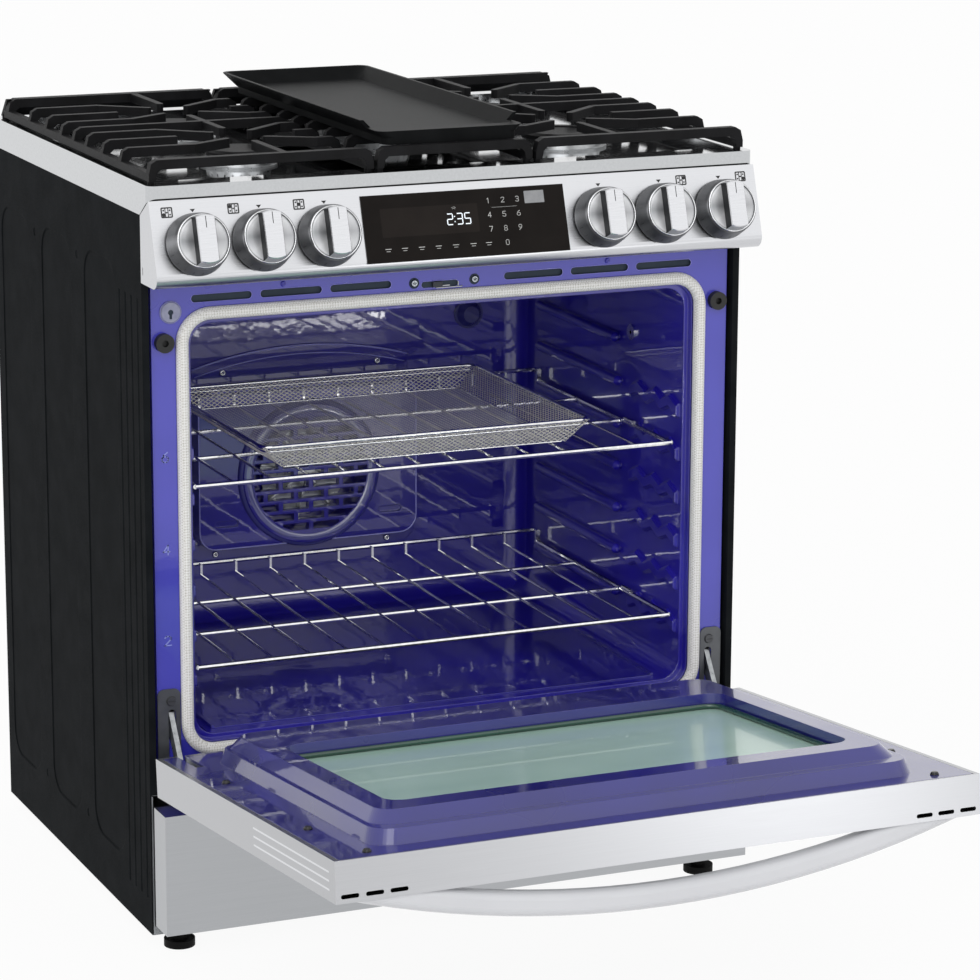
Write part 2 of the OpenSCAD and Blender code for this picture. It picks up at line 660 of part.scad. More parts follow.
stem_in = 22;
grip_w = 23;
face_r = knob_r - 4.8;
knob_h = knob_face + grip_h;
module stem() translate([0, 0, -34]) {
  cylinder(r = stem_r, h = 34 + stem_in);
  translate([0, 0, 22]) cylinder(r = 5.4, h = 3);
}
module knob() difference() {
  union() {
    // tapered skirt, narrower lip round the face
    translate([0, 0, 3.2]) cylinder(r1 = knob_r, r2 = face_r + 1, h = knob_face - 6.2);
    translate([0, 0, knob_face - 3]) cylinder(r1 = face_r, r2 = face_r - 1, h = 3);
    intersection() {
      translate([-grip_w / 2, -40, knob_face - 2]) cube([grip_w, 80, grip_h + 2]);
      cylinder(r1 = face_r + 1, r2 = face_r - 3, h = knob_h);
    }
  }
  // dished face on both sides of the grip
  difference() {
    translate([0, 0, knob_face - 1.2]) cylinder(r1 = face_r - 3, r2 = face_r - 2, h = 1.3);
    translate([-grip_w / 2, -40, knob_face - 3]) cube([grip_w, 80, 4]);
  }
  translate([0, 0, 3]) difference() {
    cylinder(r1 = knob_r - 3, r2 = face_r - 3, h = knob_face - 10);
    cylinder(r = 8, h = knob_face);
  }
  translate([0, 0, -1]) cylinder(r = stem_r + 0.05, h = stem_in + 2.1);
  translate([-0.8, 12, knob_h - 0.8]) cube([1.6, 14, 2]);
}
module knob_n(k) at_frame() color("#77797b") at_knob(k) knob();
module stem_n(k) at_frame() color("#b5b7b9") at_knob(k) stem();
module stem_1() stem_n(1);
module stem_2() stem_n(2);
module stem_3() stem_n(3);
module stem_4() stem_n(4);
module stem_5() stem_n(5);
module stem_6() stem_n(6);
module knob_1() knob_n(1);
module knob_2() knob_n(2);
module knob_3() knob_n(3);
module knob_4() knob_n(4);
module knob_5() knob_n(5);
module knob_6() knob_n(6);

// ---------- cooktop ----------
module rim_outline(g) difference() {
  rr(-half + g, half - g, -panel_out + g, depth - g, 10 - g);
}
// edge of the sunk middle of the cooktop
module well_outline(g)
  rr(19.5 - half - g, half - 19.5 + g, -2.6 - g, depth - 26 + g, 14 + g);
module burner_spots() {
  for (x = [-burner_x, burner_x], y = [burner_front, burner_back]) translate([x, y]) children();
}
module cooktop() at_frame() color("#d3d4d5") difference() {
  union() {
    difference() {
      translate([0, 0, trim_z]) linear_extrude(top_z - trim_z) rim_outline(0);
      translate([0, 0, trim_z - 1]) linear_extrude(top_z - trim_z + 1 - sheet) rim_outline(sheet);
      // the front trim is lower, cut back on a slant to meet the control panel sides
      yz(-half - 1, half + 1) polygon([[-panel_out - 1, panel_top + 2], [-panel_out, panel_top + 2],
        [-5.6, trim_z], [-5.6, trim_z - 5], [-panel_out - 1, trim_z - 5]]);
      translate([0, 0, top_z - 5]) linear_extrude(10) well_outline(0);
    }
    translate([0, 0, top_z - well - sheet]) linear_extrude(well + sheet - 0.4) difference() {
      well_outline(1.5);
      well_outline(0);
    }
    translate([0, 0, top_z - well - sheet]) linear_extrude(sheet)
      well_outline(0.5);
  }
  burner_spots() translate([0, 0, top_z - 30]) cylinder(r = 22, h = 40);
  translate([0, bars_mid, top_z - 30]) linear_extrude(40) rr(-22, 22, -90, 90, 21.9);
}

burner_size = [[-1, 0, 40], [1, 0, 50], [-1, 1, 44], [1, 1, 36]];
module each_burner() for (b = burner_size)
  translate([b[0] * burner_x, b[1] > 0 ? burner_back : burner_front, top_z - well]) {
    $r = b[2];
    children();
  }
module burner_bases() at_frame() color("#c4c5c6") {
  each_burner() {
    difference() {
      union() {
        cylinder(r = $r + 6, h = 2.5);
        cylinder(r1 = $r, r2 = $r - 3, h = 12);
        translate([0, 0, -24]) cylinder(r = 21.9, h = 24.5);
      }
      for (a = [0:15:345]) rotate([0, 0, a]) translate([$r - 9, -1, 7]) cube([12, 2, 3.4]);
      translate([0, 0, -25]) cylinder(r = 16, h = 30);
    }
  }
  translate([0, bars_mid, top_z - well]) difference() {
    union() {
      linear_extrude(2.5) rr(-34, 34, -104, 104, 33.9);
      linear_extrude(12) rr(-28, 28, -98, 98, 27.9);
      translate([0, 0, -24]) linear_extrude(24.5) rr(-21.9, 21.9, -89.9, 89.9, 21.8);
    }
    translate([0, 0, -25]) linear_extrude(30) rr(-16, 16, -84, 84, 15.9);
    for (y = [-70:14:70]) translate([-30, y - 1, 7]) cube([60, 2, 3.4]);
  }
}
module burner_caps() at_frame() color("#26282a") {
  each_burner() difference() {
    union() {
      translate([0, 0, 12]) cylinder(r = $r - 2, h = 5);
      translate([0, 0, 17]) cylinder(r1 = $r - 2, r2 = $r - 6, h = 3);
    }
    if ($r > 45) translate([0, 0, 18.5]) cylinder(r = $r - 18, h = 3);
  }
  translate([0, bars_mid, top_z - well + 12]) linear_extrude(7) rr(-26, 26, -96, 96, 25.9);
}
module igniters() at_frame() color("#f0ece0") {
  each_burner() rotate([0, 0, 40]) translate([$r + 3, 0, 2.5]) cylinder(r = 2.5, h = 7);
  translate([31, bars_mid + 30, top_z - well + 2.5]) cylinder(r = 2.5, h = 7);
}

// ---------- grates ----------
gy0 = -22.6;
gy1 = 571;
foot_gap = 0.05;
rail_z = top_z + 12;
foot_z = top_z + 2.5;
shoulder = 10;
// half of a cast bar: rail, shoulder and flat top, running inwards from a side
module half_bar(len) polygon([[0, foot_z], [0, rail_z - 1], [shoulder * 0.3, grate_z - 4],
  [shoulder, grate_z], [len, grate_z], [len, grate_z - 11], [shoulder + 4, grate_z - 11],
  [10, rail_z], [8, foot_z]]);
module from_inner(y, len) xz(y - bar_w / 2, y + bar_w / 2) translate([grate_in, 0]) half_bar(len);
module from_outer(y, len) xz(y - bar_w / 2, y + bar_w / 2)
  translate([grate_out, 0]) mirror([1, 0]) half_bar(len);
// straight finger between two points of the plan, both ends rounded
module finger(p, q) hull() for (e = [p, q])
  translate([e[0], e[1], grate_z - 11]) cylinder(r = bar_w / 2 - 0.2, h = 10.8, $fn = 16);
module full_bar(x0, x1, y0, y1) xz(y0, y1) union() {
  translate([x0, 0]) half_bar((x1 - x0) / 2 + 1);
  translate([x1, 0]) mirror([1, 0]) half_bar((x1 - x0) / 2 + 1);
}
module grate_border(x0, x1) {
  for (x = [x0, x1 - 9]) translate([x, gy0 + 2, foot_z]) cube([9, gy1 - gy0 - 20, rail_z - foot_z]);
  full_bar(x0, x1, gy0, gy0 + 12);
  full_bar(x0, x1, gy1 - 37, gy1 - 22);
  // slanted skirt along the back
  yz(x0 + 1, x1 - 1) polygon([[gy1 - 30, grate_z - 1], [gy1 - 23, grate_z - 1], [gy1, foot_z],
    [gy1 - 8, foot_z]]);
  // feet
  for (x = [x0 + 4.5, x1 - 4.5], y = [gy0 + 7, gy1 - 9])
    translate([x, y, top_z + foot_gap]) cylinder(r = 4.4, h = 4);
}
module side_grate() {
  grate_border(grate_in, grate_out);
  full_bar(grate_in, grate_out, bars_mid - bar_w / 2, bars_mid + bar_w / 2);
  inner = burner_x - grate_in;
  outer = grate_out - burner_x;
  for (s = [-1, 1]) {
    by = s < 0 ? burner_front : burner_back;
    // short bars that stop at the burner's side
    from_inner(bars_mid + s * bar_short, inner - eye_side);
    from_outer(bars_mid + s * bar_short, outer - eye_side);
    // long bars with their ends bent towards the burner
    for (b = [bar_inner, bar_outer]) {
      y = bars_mid + s * b;
      from_inner(y, inner - elbow);
      from_outer(y, outer - elbow);
      t = y < by ? -eye_tip : eye_tip;
      for (d = [-1, 1])
        finger([burner_x + d * elbow, y], [burner_x + d * eye_tip * 0.9, by + t]);
    }
    // fingers from the end bar and the middle bar
    ye = s < 0 ? gy0 + 6 : gy1 - 30;
    finger([burner_x, ye], [burner_x, by + s * eye_end]);
    finger([burner_x, bars_mid], [burner_x, by - s * eye_end]);
  }
}
module center_grate() {
  grate_border(-mid_w, mid_w);
  for (b = [-bar_outer, -bar_short, -bar_inner, 0, bar_inner, bar_short, bar_outer])
    full_bar(-mid_w, mid_w, bars_mid + b - bar_w / 2, bars_mid + b + bar_w / 2);
  finger([0, gy0 + 6], [0, bars_mid - bar_outer]);
  finger([0, gy1 - 30], [0, bars_mid + bar_outer]);
}
module grate_left() at_frame() color("#232426") mirror([1, 0, 0]) side_grate();
module grate_right() at_frame() color("#232426") side_grate();
module grate_center() at_frame() color("#232426") center_grate();

gr0 = -10.6;
gr1 = 514.4;
module pan_outline(g) rr(-griddle_w + g, griddle_w - g, gr0 + g, gr1 - g, 14);
module griddle() at_frame() color("#3a3b3d") {
  z = grate_z + foot_gap;
  difference() {
    union() {
      translate([0, 0, z]) linear_extrude(10) rr(-84, 84, gr0, gr1 - 16, 12);
      hull() {
        translate([0, 0, z + 9]) linear_extrude(1) rr(-86, 86, gr0, gr1 - 16, 12);
        translate([0, 0, z + 24]) linear_extrude(1) pan_outline(0);
      }
    }
    hull() {
      translate([0, 0, z + 10]) linear_extrude(1) rr(-80, 80, gr0 + 22, gr1 - 22, 10);
      translate([0, 0, z + 25]) linear_extrude(1) rr(-griddle_w + 4, griddle_w - 4, gr0 + 16,
        gr1 - 4, 12);
    }
    translate([-griddle_w - 1, gr0 - 1, z + 16]) cube([2 * griddle_w + 2, 40, 20]);
  }
}

// ---------- door, written closed and swung open about its pin ----------
module door_skin() at_frame() color("#c9cbcc") in_door() difference() {
  union() {
    difference() {
      box([-dw, -door_t, 0], [dw, 0, door_h]);
      box([-dw + sheet, -door_t + sheet, sheet], [dw - sheet, 1, door_h - sheet]);
    }
    // folded edges on the inner side
    for (s = [-1, 1]) box([s > 0 ? dw - 6 : -dw, -1.2, 0], [s > 0 ? dw : -dw + 6, 0, door_h]);
    box([-dw, -1.2, 0], [dw, 0, 5]);
    box([-dw, -1.2, door_h - 3], [dw, 0, door_h]);
  }
  xz(-door_t - 1, -door_t + sheet + 1) rr(-win_w + 15, win_w - 15, win_low - 7, win_high + 6, 12);
  both() for (x = [dw - 80.2, dw - 53.2, dw - 25.7])
    translate([0, 0, door_h]) rotate([0, 0, 0]) translate([x, -40.6, -4])
      linear_extrude(6) rr(0, 20, 0, 4.6, 2.2);
  both() box([hinge_x - 5, -41, -1], [hinge_x + 5, 1, 70]);
}

lw = dw - 6.5;
module plug_ring(x, z0, z1, r) rr(x - dw, dw - x, z0, door_h - z1, r);
module plug_base(g) plug_ring(56.4 + g, 40 + g, 32.5 + g, 30 - g);
module plug_ridge(g) plug_ring(61.4 + g, 45 + g, 37.5 + g, 28 - g);
module plug_foot(g) plug_ring(67.4 + g, 47 + g, 54 + g, 26 - g);
module plug_top(g) plug_ring(78.4 + g, 56 + g, 66.5 + g, 24 - g);
win_low = 145;
win_high = door_h - 102;
module window(g) rr(-win_w - g, win_w + g, win_low - g, win_high + g, 22 + g);
module door_liner() at_frame() color("#8f8fc6") in_door() {
  gs = 1.6;
  difference() {
    union() {
      xz(-sheet, 0) rr(-lw, lw, 5.5, door_h - 3.5, 4);
      xz(-2.8, -1.25) rr(-dw + sheet + fit, dw - sheet - fit, sheet + fit, door_h - sheet - fit, 4);
      hull() {
        xz(-1, 0) plug_base(0);
        xz(step_h - 1, step_h) plug_ridge(0);
      }
      hull() {
        xz(step_h - 1, step_h) plug_foot(0);
        xz(plug_h - 1, plug_h) plug_top(0);
      }
    }
    hull() {
      xz(-4, -3) plug_base(gs);
      xz(step_h - 1 - gs, step_h - gs) plug_ridge(gs);
    }
    hull() {
      xz(step_h - 2 - gs, step_h - 1 - gs) plug_foot(gs);
      xz(plug_h - 1 - gs, plug_h - gs) plug_top(gs);
    }
    xz(-5, plug_h + 1) window(0);
    both() box([hinge_x - 5, -12, -1], [hinge_x + 5, 1, 70]);
  }
  // collar around the window down to the glass
  xz(12, plug_h - 0.2) difference() {
    window(2);
    window(0);
  }
}

module door_glass_inner() at_frame() color("#8aa59c") in_door()
  xz(7, 12) rr(-win_w - 10, win_w + 10, win_low - 10, win_high + 10, 20);
module door_glass_outer() at_frame() color("#1b2422") in_door()
  xz(-door_t + sheet, -door_t + sheet + 5)
    rr(-win_w + 5, win_w - 5, win_low - 17, win_high + 16, 12);

hcl = 226;
module door_hinge_channels() at_frame() color("#a7aaac") in_door() both() difference() {
  union() {
    for (x = [hinge_x - 7, hinge_x + 5]) box([x, -41, sheet + fit], [x + 2, -3, hcl]);
    box([hinge_x - 7, -door_t + sheet, 60], [hinge_x + 7, -41, hcl]);
    box([hinge_x - 7, -door_t + sheet, sheet + fit], [hinge_x + 7, -41, 60]);
    rodx(hinge_x - 7, hinge_x + 7, -hinge_in, hinge_up, pin_r);
    rodx(hinge_x - 7, hinge_x + 7, -22, 210, 3);
  }
}

module door_screws() at_frame() color("#1f1f22") in_door() both()
  for (p = [[dw - 27.4, 168], [dw - 27.4, door_h - 149], [dw - 44.4, door_h - 22]])
    translate([p[0], 0, p[1]]) rotate([-90, 0, 0]) {
      cylinder(r = 5, h = 1.2);
      translate([0, 0, 1.2]) cylinder(r1 = 5, r2 = 3.4, h = 2.2);
    }

module door_handle() at_frame() color("#dfe0e2") in_door() {
  // bowed bar laid in short steps, its ends running into the door face
  zc = door_h - 14;
  yc = -handle_out + bow_r;
  span = 38;
  steps = 26;
  intersection() {
    for (i = [0:steps - 1]) hull() for (j = [i, i + 1])
      translate([0, yc, zc]) rotate([90, 0, -90 + (j / steps - 0.5) * span])
        translate([bow_r - 13.5, 0, 0]) linear_extrude(1) rr(-13.5, 13.5, -12, 12, 9, $fn = 28);
    box([7.4 - dw, -handle_out - 1, zc - 24], [dw - 7.4, -door_t, zc + 26]);
  }
}

// ---------- drawer ----------
dx = half - 1.3;
module drawer_front() at_frame() color("#a5a6a8") {
  z0 = drawer_low; z1 = drawer_high; y0 = -drawer_out; y1 = -18;
  difference() {
    box([-dx, y0, z0], [dx, y1, z1]);
    box([-dx + sheet, y0 + sheet, z0 + sheet], [dx - sheet, y1 + 1, z1 - sheet]);
    // finger pull cut into the upper edge
    translate([0, 0, z1 - 10]) linear_extrude(20) rr(-120, 120, y0 + 10, y1 + 10, 5);
  }
  both() box([drawer_w - 20, y0 + sheet, z0 + 25.5], [drawer_w + 3, y1 + 4, z1 - 30.6]);
}
module drawer_box() at_frame() color("#9a9da0") {
  y0 = -14; y1 = depth - 77; z0 = drawer_low + 17.5; z1 = drawer_high - 15.6;
  difference() {
    box([-drawer_w, y0, z0], [drawer_w, y1, z1]);
    box([-drawer_w + 1.5, y0 + 1.5, z0 + 1.5], [drawer_w - 1.5, y1 - 1.5, z1 + 1]);
  }
  both() box([drawer_w, 20, 78], [drawer_w + 10.9, y1, 88]);
}

// ---------- racks and basket ----------
wires = 13;
module rack(z) translate([0, 0, z]) {
  y0 = rack_front; y1 = rack_front + rack_len; w = rack_w - rod_r; step = rack_len / 3 + 2;
  lift = 14;
  $fn = 8;
  both() {
    rody(w, y0, y1 - 8, 0, rod_r);
    // stop notch in the side wire and upturned back end
    translate([w, y0 + 105, rod_r]) rotate([-90, 0, 0]) cylinder(r = rod_r, h = 26);
    translate([w - rod_r * 0.9, y1 - 12, 0]) cube([rod_r * 1.8, 4, lift]);
    rody(w, y1 - 12, y1, lift, rod_r);
  }
  rodx(-w, w, y0, 0, rod_r);
  for (i = [1, 2]) rodx(-w, w, y0 + i * step, -0.4, 2.6);
  rodx(-w, w, y1, lift, rod_r);
  for (i = [1:wires - 1]) {
    x = -w + 2 * w * i / wires;
    rody(x, y0, y1 - 8, 1, 1.7);
    translate([x - 1.5, y1 - 10, 1]) cube([3, 3, lift]);
    rody(x, y1 - 10, y1, lift, 1.7);
  }
}
module rack_upper() at_frame() color("#d9dbdd") rack(rack_z + 4 * rack_pitch);
module rack_lower() at_frame() color("#d9dbdd") rack(rack_z);

bk0 = rack_front + 29.4;
bk1 = rack_front + rack_len - 13;
bz = rack_z + 4 * rack_pitch + rod_r + foot_gap;
module fry_basket() at_frame() color("#c7c9cb") {
  mesh = 26;
  w = rack_w - 126;
  rim = bz + 25.6;
  // woven floor with an open grid
  translate([0, 0, bz]) linear_extrude(1.6) difference() {
    rr(-w, w, bk0 + 12, bk1 - 12, 14);
    for (i = [0:12], j = [0:11])
      translate([-w + 16 + i * mesh, bk0 + 24 + j * mesh]) square(mesh - 4);
  }
  // sloping walls, thin, and a wire rim
  difference() {
    hull() {
      translate([0, 0, bz]) linear_extrude(0.8) rr(-w - 1, w + 1, bk0 + 11, bk1 - 11, 15);
      translate([0, 0, rim]) linear_extrude(0.8) rr(-w - 28, w + 28, bk0 + 2, bk1 - 2, 18);
    }
    hull() {
      translate([0, 0, bz + 1.2]) linear_extrude(0.8) rr(-w + 1, w - 1, bk0 + 13, bk1 - 13, 14);
      translate([0, 0, rim]) linear_extrude(2) rr(-w - 26, w + 26, bk0 + 4, bk1 - 4, 17);
    }
  }
  difference() {
    translate([0, 0, rim - 0.5]) linear_extrude(5) rr(-w - 30.5, w + 30.5, bk0, bk1, 20);
    translate([0, 0, rim - 8]) linear_extrude(20) rr(-w - 25.5, w + 25.5, bk0 + 5, bk1 - 5, 16);
  }
}

side_panel_left();
side_panel_right();
rear_panel();
base_frame();
levelling_feet();
front_frame();
oven_cavity();
oven_floor();
insulation_wrap();
fan_cover();
fan_motor();
oven_lamp();
temperature_sensor();
probe_socket();
broil_burner();
bake_burner();
door_gasket();
door_latch();
frame_bumpers();
frame_screws();
hinge_plates();
hinge_arms();
control_panel();
control_glass();
control_board();
gas_manifold();
cooktop();
burner_bases();
burner_caps();
igniters();
drawer_rails();
fan_blade();
stem_1();
stem_2();
stem_3();
stem_4();
stem_5();
stem_6();
knob_1();
knob_2();
knob_3();
knob_4();
knob_5();
knob_6();
door_skin();
door_liner();
door_glass_inner();
door_glass_outer();
door_handle();
door_hinge_channels();
door_screws();
grate_left();
grate_center();
grate_right();
griddle();
drawer_front();
drawer_box();
rack_upper();
rack_lower();
fry_basket();
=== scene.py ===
import math
import bpy, bmesh
from mathutils import Vector, Matrix, Euler


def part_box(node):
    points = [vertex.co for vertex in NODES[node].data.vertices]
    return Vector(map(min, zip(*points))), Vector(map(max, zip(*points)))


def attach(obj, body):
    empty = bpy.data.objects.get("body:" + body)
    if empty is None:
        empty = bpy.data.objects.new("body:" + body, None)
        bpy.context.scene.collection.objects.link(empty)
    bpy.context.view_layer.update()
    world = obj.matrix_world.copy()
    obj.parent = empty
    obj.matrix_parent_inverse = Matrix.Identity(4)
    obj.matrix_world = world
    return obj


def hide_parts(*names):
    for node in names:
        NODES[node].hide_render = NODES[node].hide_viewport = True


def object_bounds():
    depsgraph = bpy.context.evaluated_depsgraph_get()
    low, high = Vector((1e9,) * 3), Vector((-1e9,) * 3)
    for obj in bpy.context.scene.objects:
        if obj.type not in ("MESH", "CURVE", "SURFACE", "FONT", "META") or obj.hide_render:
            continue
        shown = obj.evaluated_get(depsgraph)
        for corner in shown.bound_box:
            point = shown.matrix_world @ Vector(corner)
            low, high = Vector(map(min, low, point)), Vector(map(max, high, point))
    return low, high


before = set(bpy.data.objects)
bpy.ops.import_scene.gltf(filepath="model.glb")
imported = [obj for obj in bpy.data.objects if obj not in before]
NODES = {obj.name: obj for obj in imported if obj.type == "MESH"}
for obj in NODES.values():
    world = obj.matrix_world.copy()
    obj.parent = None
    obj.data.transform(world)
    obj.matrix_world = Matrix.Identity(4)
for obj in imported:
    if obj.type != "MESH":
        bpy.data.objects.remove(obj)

CAD_BOX = [list(v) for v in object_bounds()]
MM = 0.001
rad = math.radians

# ---------------------------------------------------------------- camera, fitted to the body's edges
LENS, SENSOR = 137.4, 36.0
CAM_AT = (-1.6766, -3.9708, 1.5613)
YAW, PITCH, ROLL = rad(23.485), rad(13.501), rad(0.257)

cam_data = bpy.data.cameras.new("camera")
cam_data.lens = LENS
cam_data.sensor_width = SENSOR
cam_data.clip_start = 0.1
cam_data.clip_end = 200
cam = bpy.data.objects.new("camera", cam_data)
bpy.context.scene.collection.objects.link(cam)
look = Vector((math.sin(YAW) * math.cos(PITCH), math.cos(YAW) * math.cos(PITCH), -math.sin(PITCH)))
cam.location = CAM_AT
cam.rotation_mode = "QUATERNION"
cam.rotation_quaternion = look.to_track_quat("-Z", "Y") @ Euler((0, 0, ROLL)).to_quaternion()
bpy.context.scene.camera = cam
bpy.context.scene.view_settings.view_transform = "Standard"


# ---------------------------------------------------------------- materials
def rgb(h):
    """Linear colour of a #RRGGBB text."""
    h = h.lstrip("#")
    c = [int(h[i:i + 2], 16) / 255 for i in (0, 2, 4)]
    return tuple(x / 12.92 if x <= 0.04045 else ((x + 0.055) / 1.055) ** 2.4 for x in c) + (1.0,)


class Mat:
    """A node material whose colour, roughness and bump follow factors on the object's own coordinates."""

    def __init__(self, name):
        self.mat = bpy.data.materials.new(name)
        self.mat.use_nodes = True
        self.tree = self.mat.node_tree
        self.tree.nodes.clear()
        out = self.node("ShaderNodeOutputMaterial")
        self.bsdf = self.node("ShaderNodeBsdfPrincipled")
        self.link(self.bsdf.outputs[0], out.inputs["Surface"])
        self.coords = self.node("ShaderNodeTexCoord").outputs["Object"]
        self.normal = None

    def node(self, kind, **kw):
        x = self.tree.nodes.new(kind)
        for k, v in kw.items():
            setattr(x, k, v)
        return x

    def link(self, a, b):
        self.tree.links.new(a, b)

    def set(self, **kw):
        """Values of the surface's sockets, with _ for the spaces in their names."""
        for k, v in kw.items():
            self.bsdf.inputs[k.replace("_", " ")].default_value = v

    def noise(self, scale, stretch=(1, 1, 1), detail=3.0, rough=0.5):
        """Noise factor; a larger stretch makes the grain finer along that axis."""
        mp = self.node("ShaderNodeMapping")
        mp.inputs["Scale"].default_value = stretch
        self.link(self.coords, mp.inputs[0])
        t = self.node("ShaderNodeTexNoise")
        t.inputs["Detail"].default_value = detail
        t.inputs["Roughness"].default_value = rough
        t.inputs["Scale"].default_value = scale
        self.link(mp.outputs[0], t.inputs["Vector"])
        return t.outputs[0]

    def ramp(self, fac, stops):
        r = self.node("ShaderNodeValToRGB")
        e = r.color_ramp.elements
        while len(e) < len(stops):
            e.new(0.5)
        for i, (p, c) in enumerate(stops):
            e[i].position = p
            e[i].color = c
        self.link(fac, r.inputs[0])
        return r.outputs[0]

    def colour(self, fac, a, b, lo=0.3, hi=0.7):
        self.link(self.ramp(fac, [(lo, rgb(a)), (hi, rgb(b))]), self.bsdf.inputs["Base Color"])

    def value(self, fac, a, b, socket, lo=0.3, hi=0.7):
        m = self.node("ShaderNodeMapRange")
        for k, v in (("From Min", lo), ("From Max", hi), ("To Min", a), ("To Max", b)):
            m.inputs[k].default_value = v
        self.link(fac, m.inputs["Value"])
        self.link(m.outputs[0], self.bsdf.inputs[socket])

    def soften(self, radius, samples=4):
        """Shade the edges as rounded, as enamel and castings are; bump() comes after it."""
        bv = self.node("ShaderNodeBevel", samples=samples)
        bv.inputs["Radius"].default_value = radius
        self.normal = bv.outputs[0]

    def bump(self, fac, strength, dist):
        bp = self.node("ShaderNodeBump")
        bp.inputs["Strength"].default_value = strength
        bp.inputs["Distance"].default_value = dist
        self.link(fac, bp.inputs["Height"])
        if self.normal is not None:
            self.link(self.normal, bp.inputs["Normal"])
        self.normal = bp.outputs[0]
        self.link(self.normal, self.bsdf.inputs["Normal"])


BRUSHED_X = (12, 1500, 1500)  # long grain along x


def brushed(name, a, b, rough, stretch=BRUSHED_X, metal=1.0):
    """Metal with a fine grain; rough is the roughness at the noise's two ends."""
    m = Mat(name)
    m.set(Metallic=metal)
    g = m.noise(1.0, stretch, rough=0.6)
    m.colour(g, a, b)
    m.value(g, *rough, "Roughness")
    m.bump(g, 0.01, 0.00003)
    return m.mat


def enamel(name, a, b, rough, peel, coat=1.0, scale=90.0, dist=0.0006, ior=1.5, edge=0.0):
    """Glossy coat over colour, with a slight orange peel; edge is the radius of softened edges."""
    m = Mat(name)
    if edge:
        m.soften(edge)
    m.set(Metallic=0.0, Coat_Weight=coat, Coat_Roughness=0.03, Coat_IOR=ior, IOR=1.5)
    g = m.noise(7.0, detail=2.0)
    m.colour(g, a, b)
    f = m.noise(scale, detail=2.0, rough=0.45)
    m.value(g, rough, rough * 1.5, "Roughness")
    m.bump(f, peel, dist)
    m.link(m.normal, m.bsdf.inputs["Coat Normal"])
    return m.mat


def grained(name, a, b, rough, scale=900.0, strength=0.35, spec=0.5, edge=0.0):
    """Plain or cast surface with a fine bump; rough is the roughness at the noise's two ends."""
    m = Mat(name)
    if edge:
        m.soften(edge)
    m.set(Specular_IOR_Level=spec)
    g = m.noise(scale)
    big = m.noise(30.0)
    m.colour(big, a, b)
    m.value(g, *rough, "Roughness")
    m.bump(g, strength, 0.0004)
    return m.mat


def polished(name, a, b, rough=0.08, metal=1.0):
    m = Mat(name)
    m.set(Metallic=metal)
    g = m.noise(160.0, detail=2.0)
    m.colour(g, a, b)
    m.value(g, rough, rough * 1.8, "Roughness")
    m.bump(g, 0.04, 0.0001)
    return m.mat


def glass(name, a, b, trans, rough):
    """Tinted glass that lets the share trans through."""
    m = Mat(name)
    m.set(Transmission_Weight=trans, IOR=1.45, Coat_Weight=0.3, Coat_Roughness=0.02)
    g = m.noise(3.0, (1, 3, 1), detail=2.0)
    m.colour(g, a, b)
    m.value(g, rough, rough * 2, "Roughness")
    return m.mat


def gasket_mat():
    """Glass-fibre braid: pale yarns crossing in fine diagonal cells."""
    m = Mat("gasket_braid")
    m.set(Sheen_Weight=0.3)
    mp = m.node("ShaderNodeMapping")
    mp.inputs["Rotation"].default_value = (0, rad(45), 0)
    mp.inputs["Scale"].default_value = (430, 430, 430)
    m.link(m.coords, mp.inputs[0])
    cells = m.node("ShaderNodeTexChecker")
    cells.inputs["Scale"].default_value = 1.0
    m.link(mp.outputs[0], cells.inputs["Vector"])
    fuzz = m.noise(900.0, detail=1.0)
    yarn = m.node("ShaderNodeMath", operation="MULTIPLY_ADD")
    yarn.inputs[1].default_value = 0.45
    m.link(cells.outputs["Fac"], yarn.inputs[0])
    m.link(fuzz, yarn.inputs[2])
    m.colour(yarn.outputs[0], "#C9C6BE", "#FBFAF7", 0.3, 0.8)
    m.value(fuzz, 0.8, 0.95, "Roughness")
    m.bump(yarn.outputs[0], 0.5, 0.0006)
    return m.mat


def parted(name, steps):
    """Several finishes on one node: each step is (height it starts at in metres, colours, metal, roughness).

    Sockets of the Mix node: inputs 2 and 3 and output 0 for numbers, 6 and 7 and output 2 for colours."""
    m = Mat(name)
    axes = m.node("ShaderNodeSeparateXYZ")
    m.link(m.coords, axes.inputs[0])
    g = m.noise(120.0)
    last = None
    for place, (a, b), metal, rough in steps:
        c = m.ramp(g, [(0.3, rgb(a)), (0.7, rgb(b))])
        if last is None:
            last = (c, metal, rough)
            continue
        above = m.node("ShaderNodeMath", operation="GREATER_THAN")
        above.inputs[1].default_value = place
        m.link(axes.outputs[2], above.inputs[0])
        mix = m.node("ShaderNodeMix", data_type="RGBA")
        m.link(above.outputs[0], mix.inputs["Factor"])
        m.link(last[0], mix.inputs[6])
        m.link(c, mix.inputs[7])
        out = [mix.outputs[2]]
        for was, now in ((last[1], metal), (last[2], rough)):
            v = m.node("ShaderNodeMix", data_type="FLOAT")
            m.link(above.outputs[0], v.inputs[0])
            for k, x in ((2, was), (3, now)):
                if isinstance(x, float):
                    v.inputs[k].default_value = x
                else:
                    m.link(x, v.inputs[k])
            out.append(v.outputs[0])
        last = tuple(out)
    for x, socket in zip(last, ("Base Color", "Metallic", "Roughness")):
        m.link(x, m.bsdf.inputs[socket])
    m.bump(g, 0.03, 0.0001)
    return m.mat


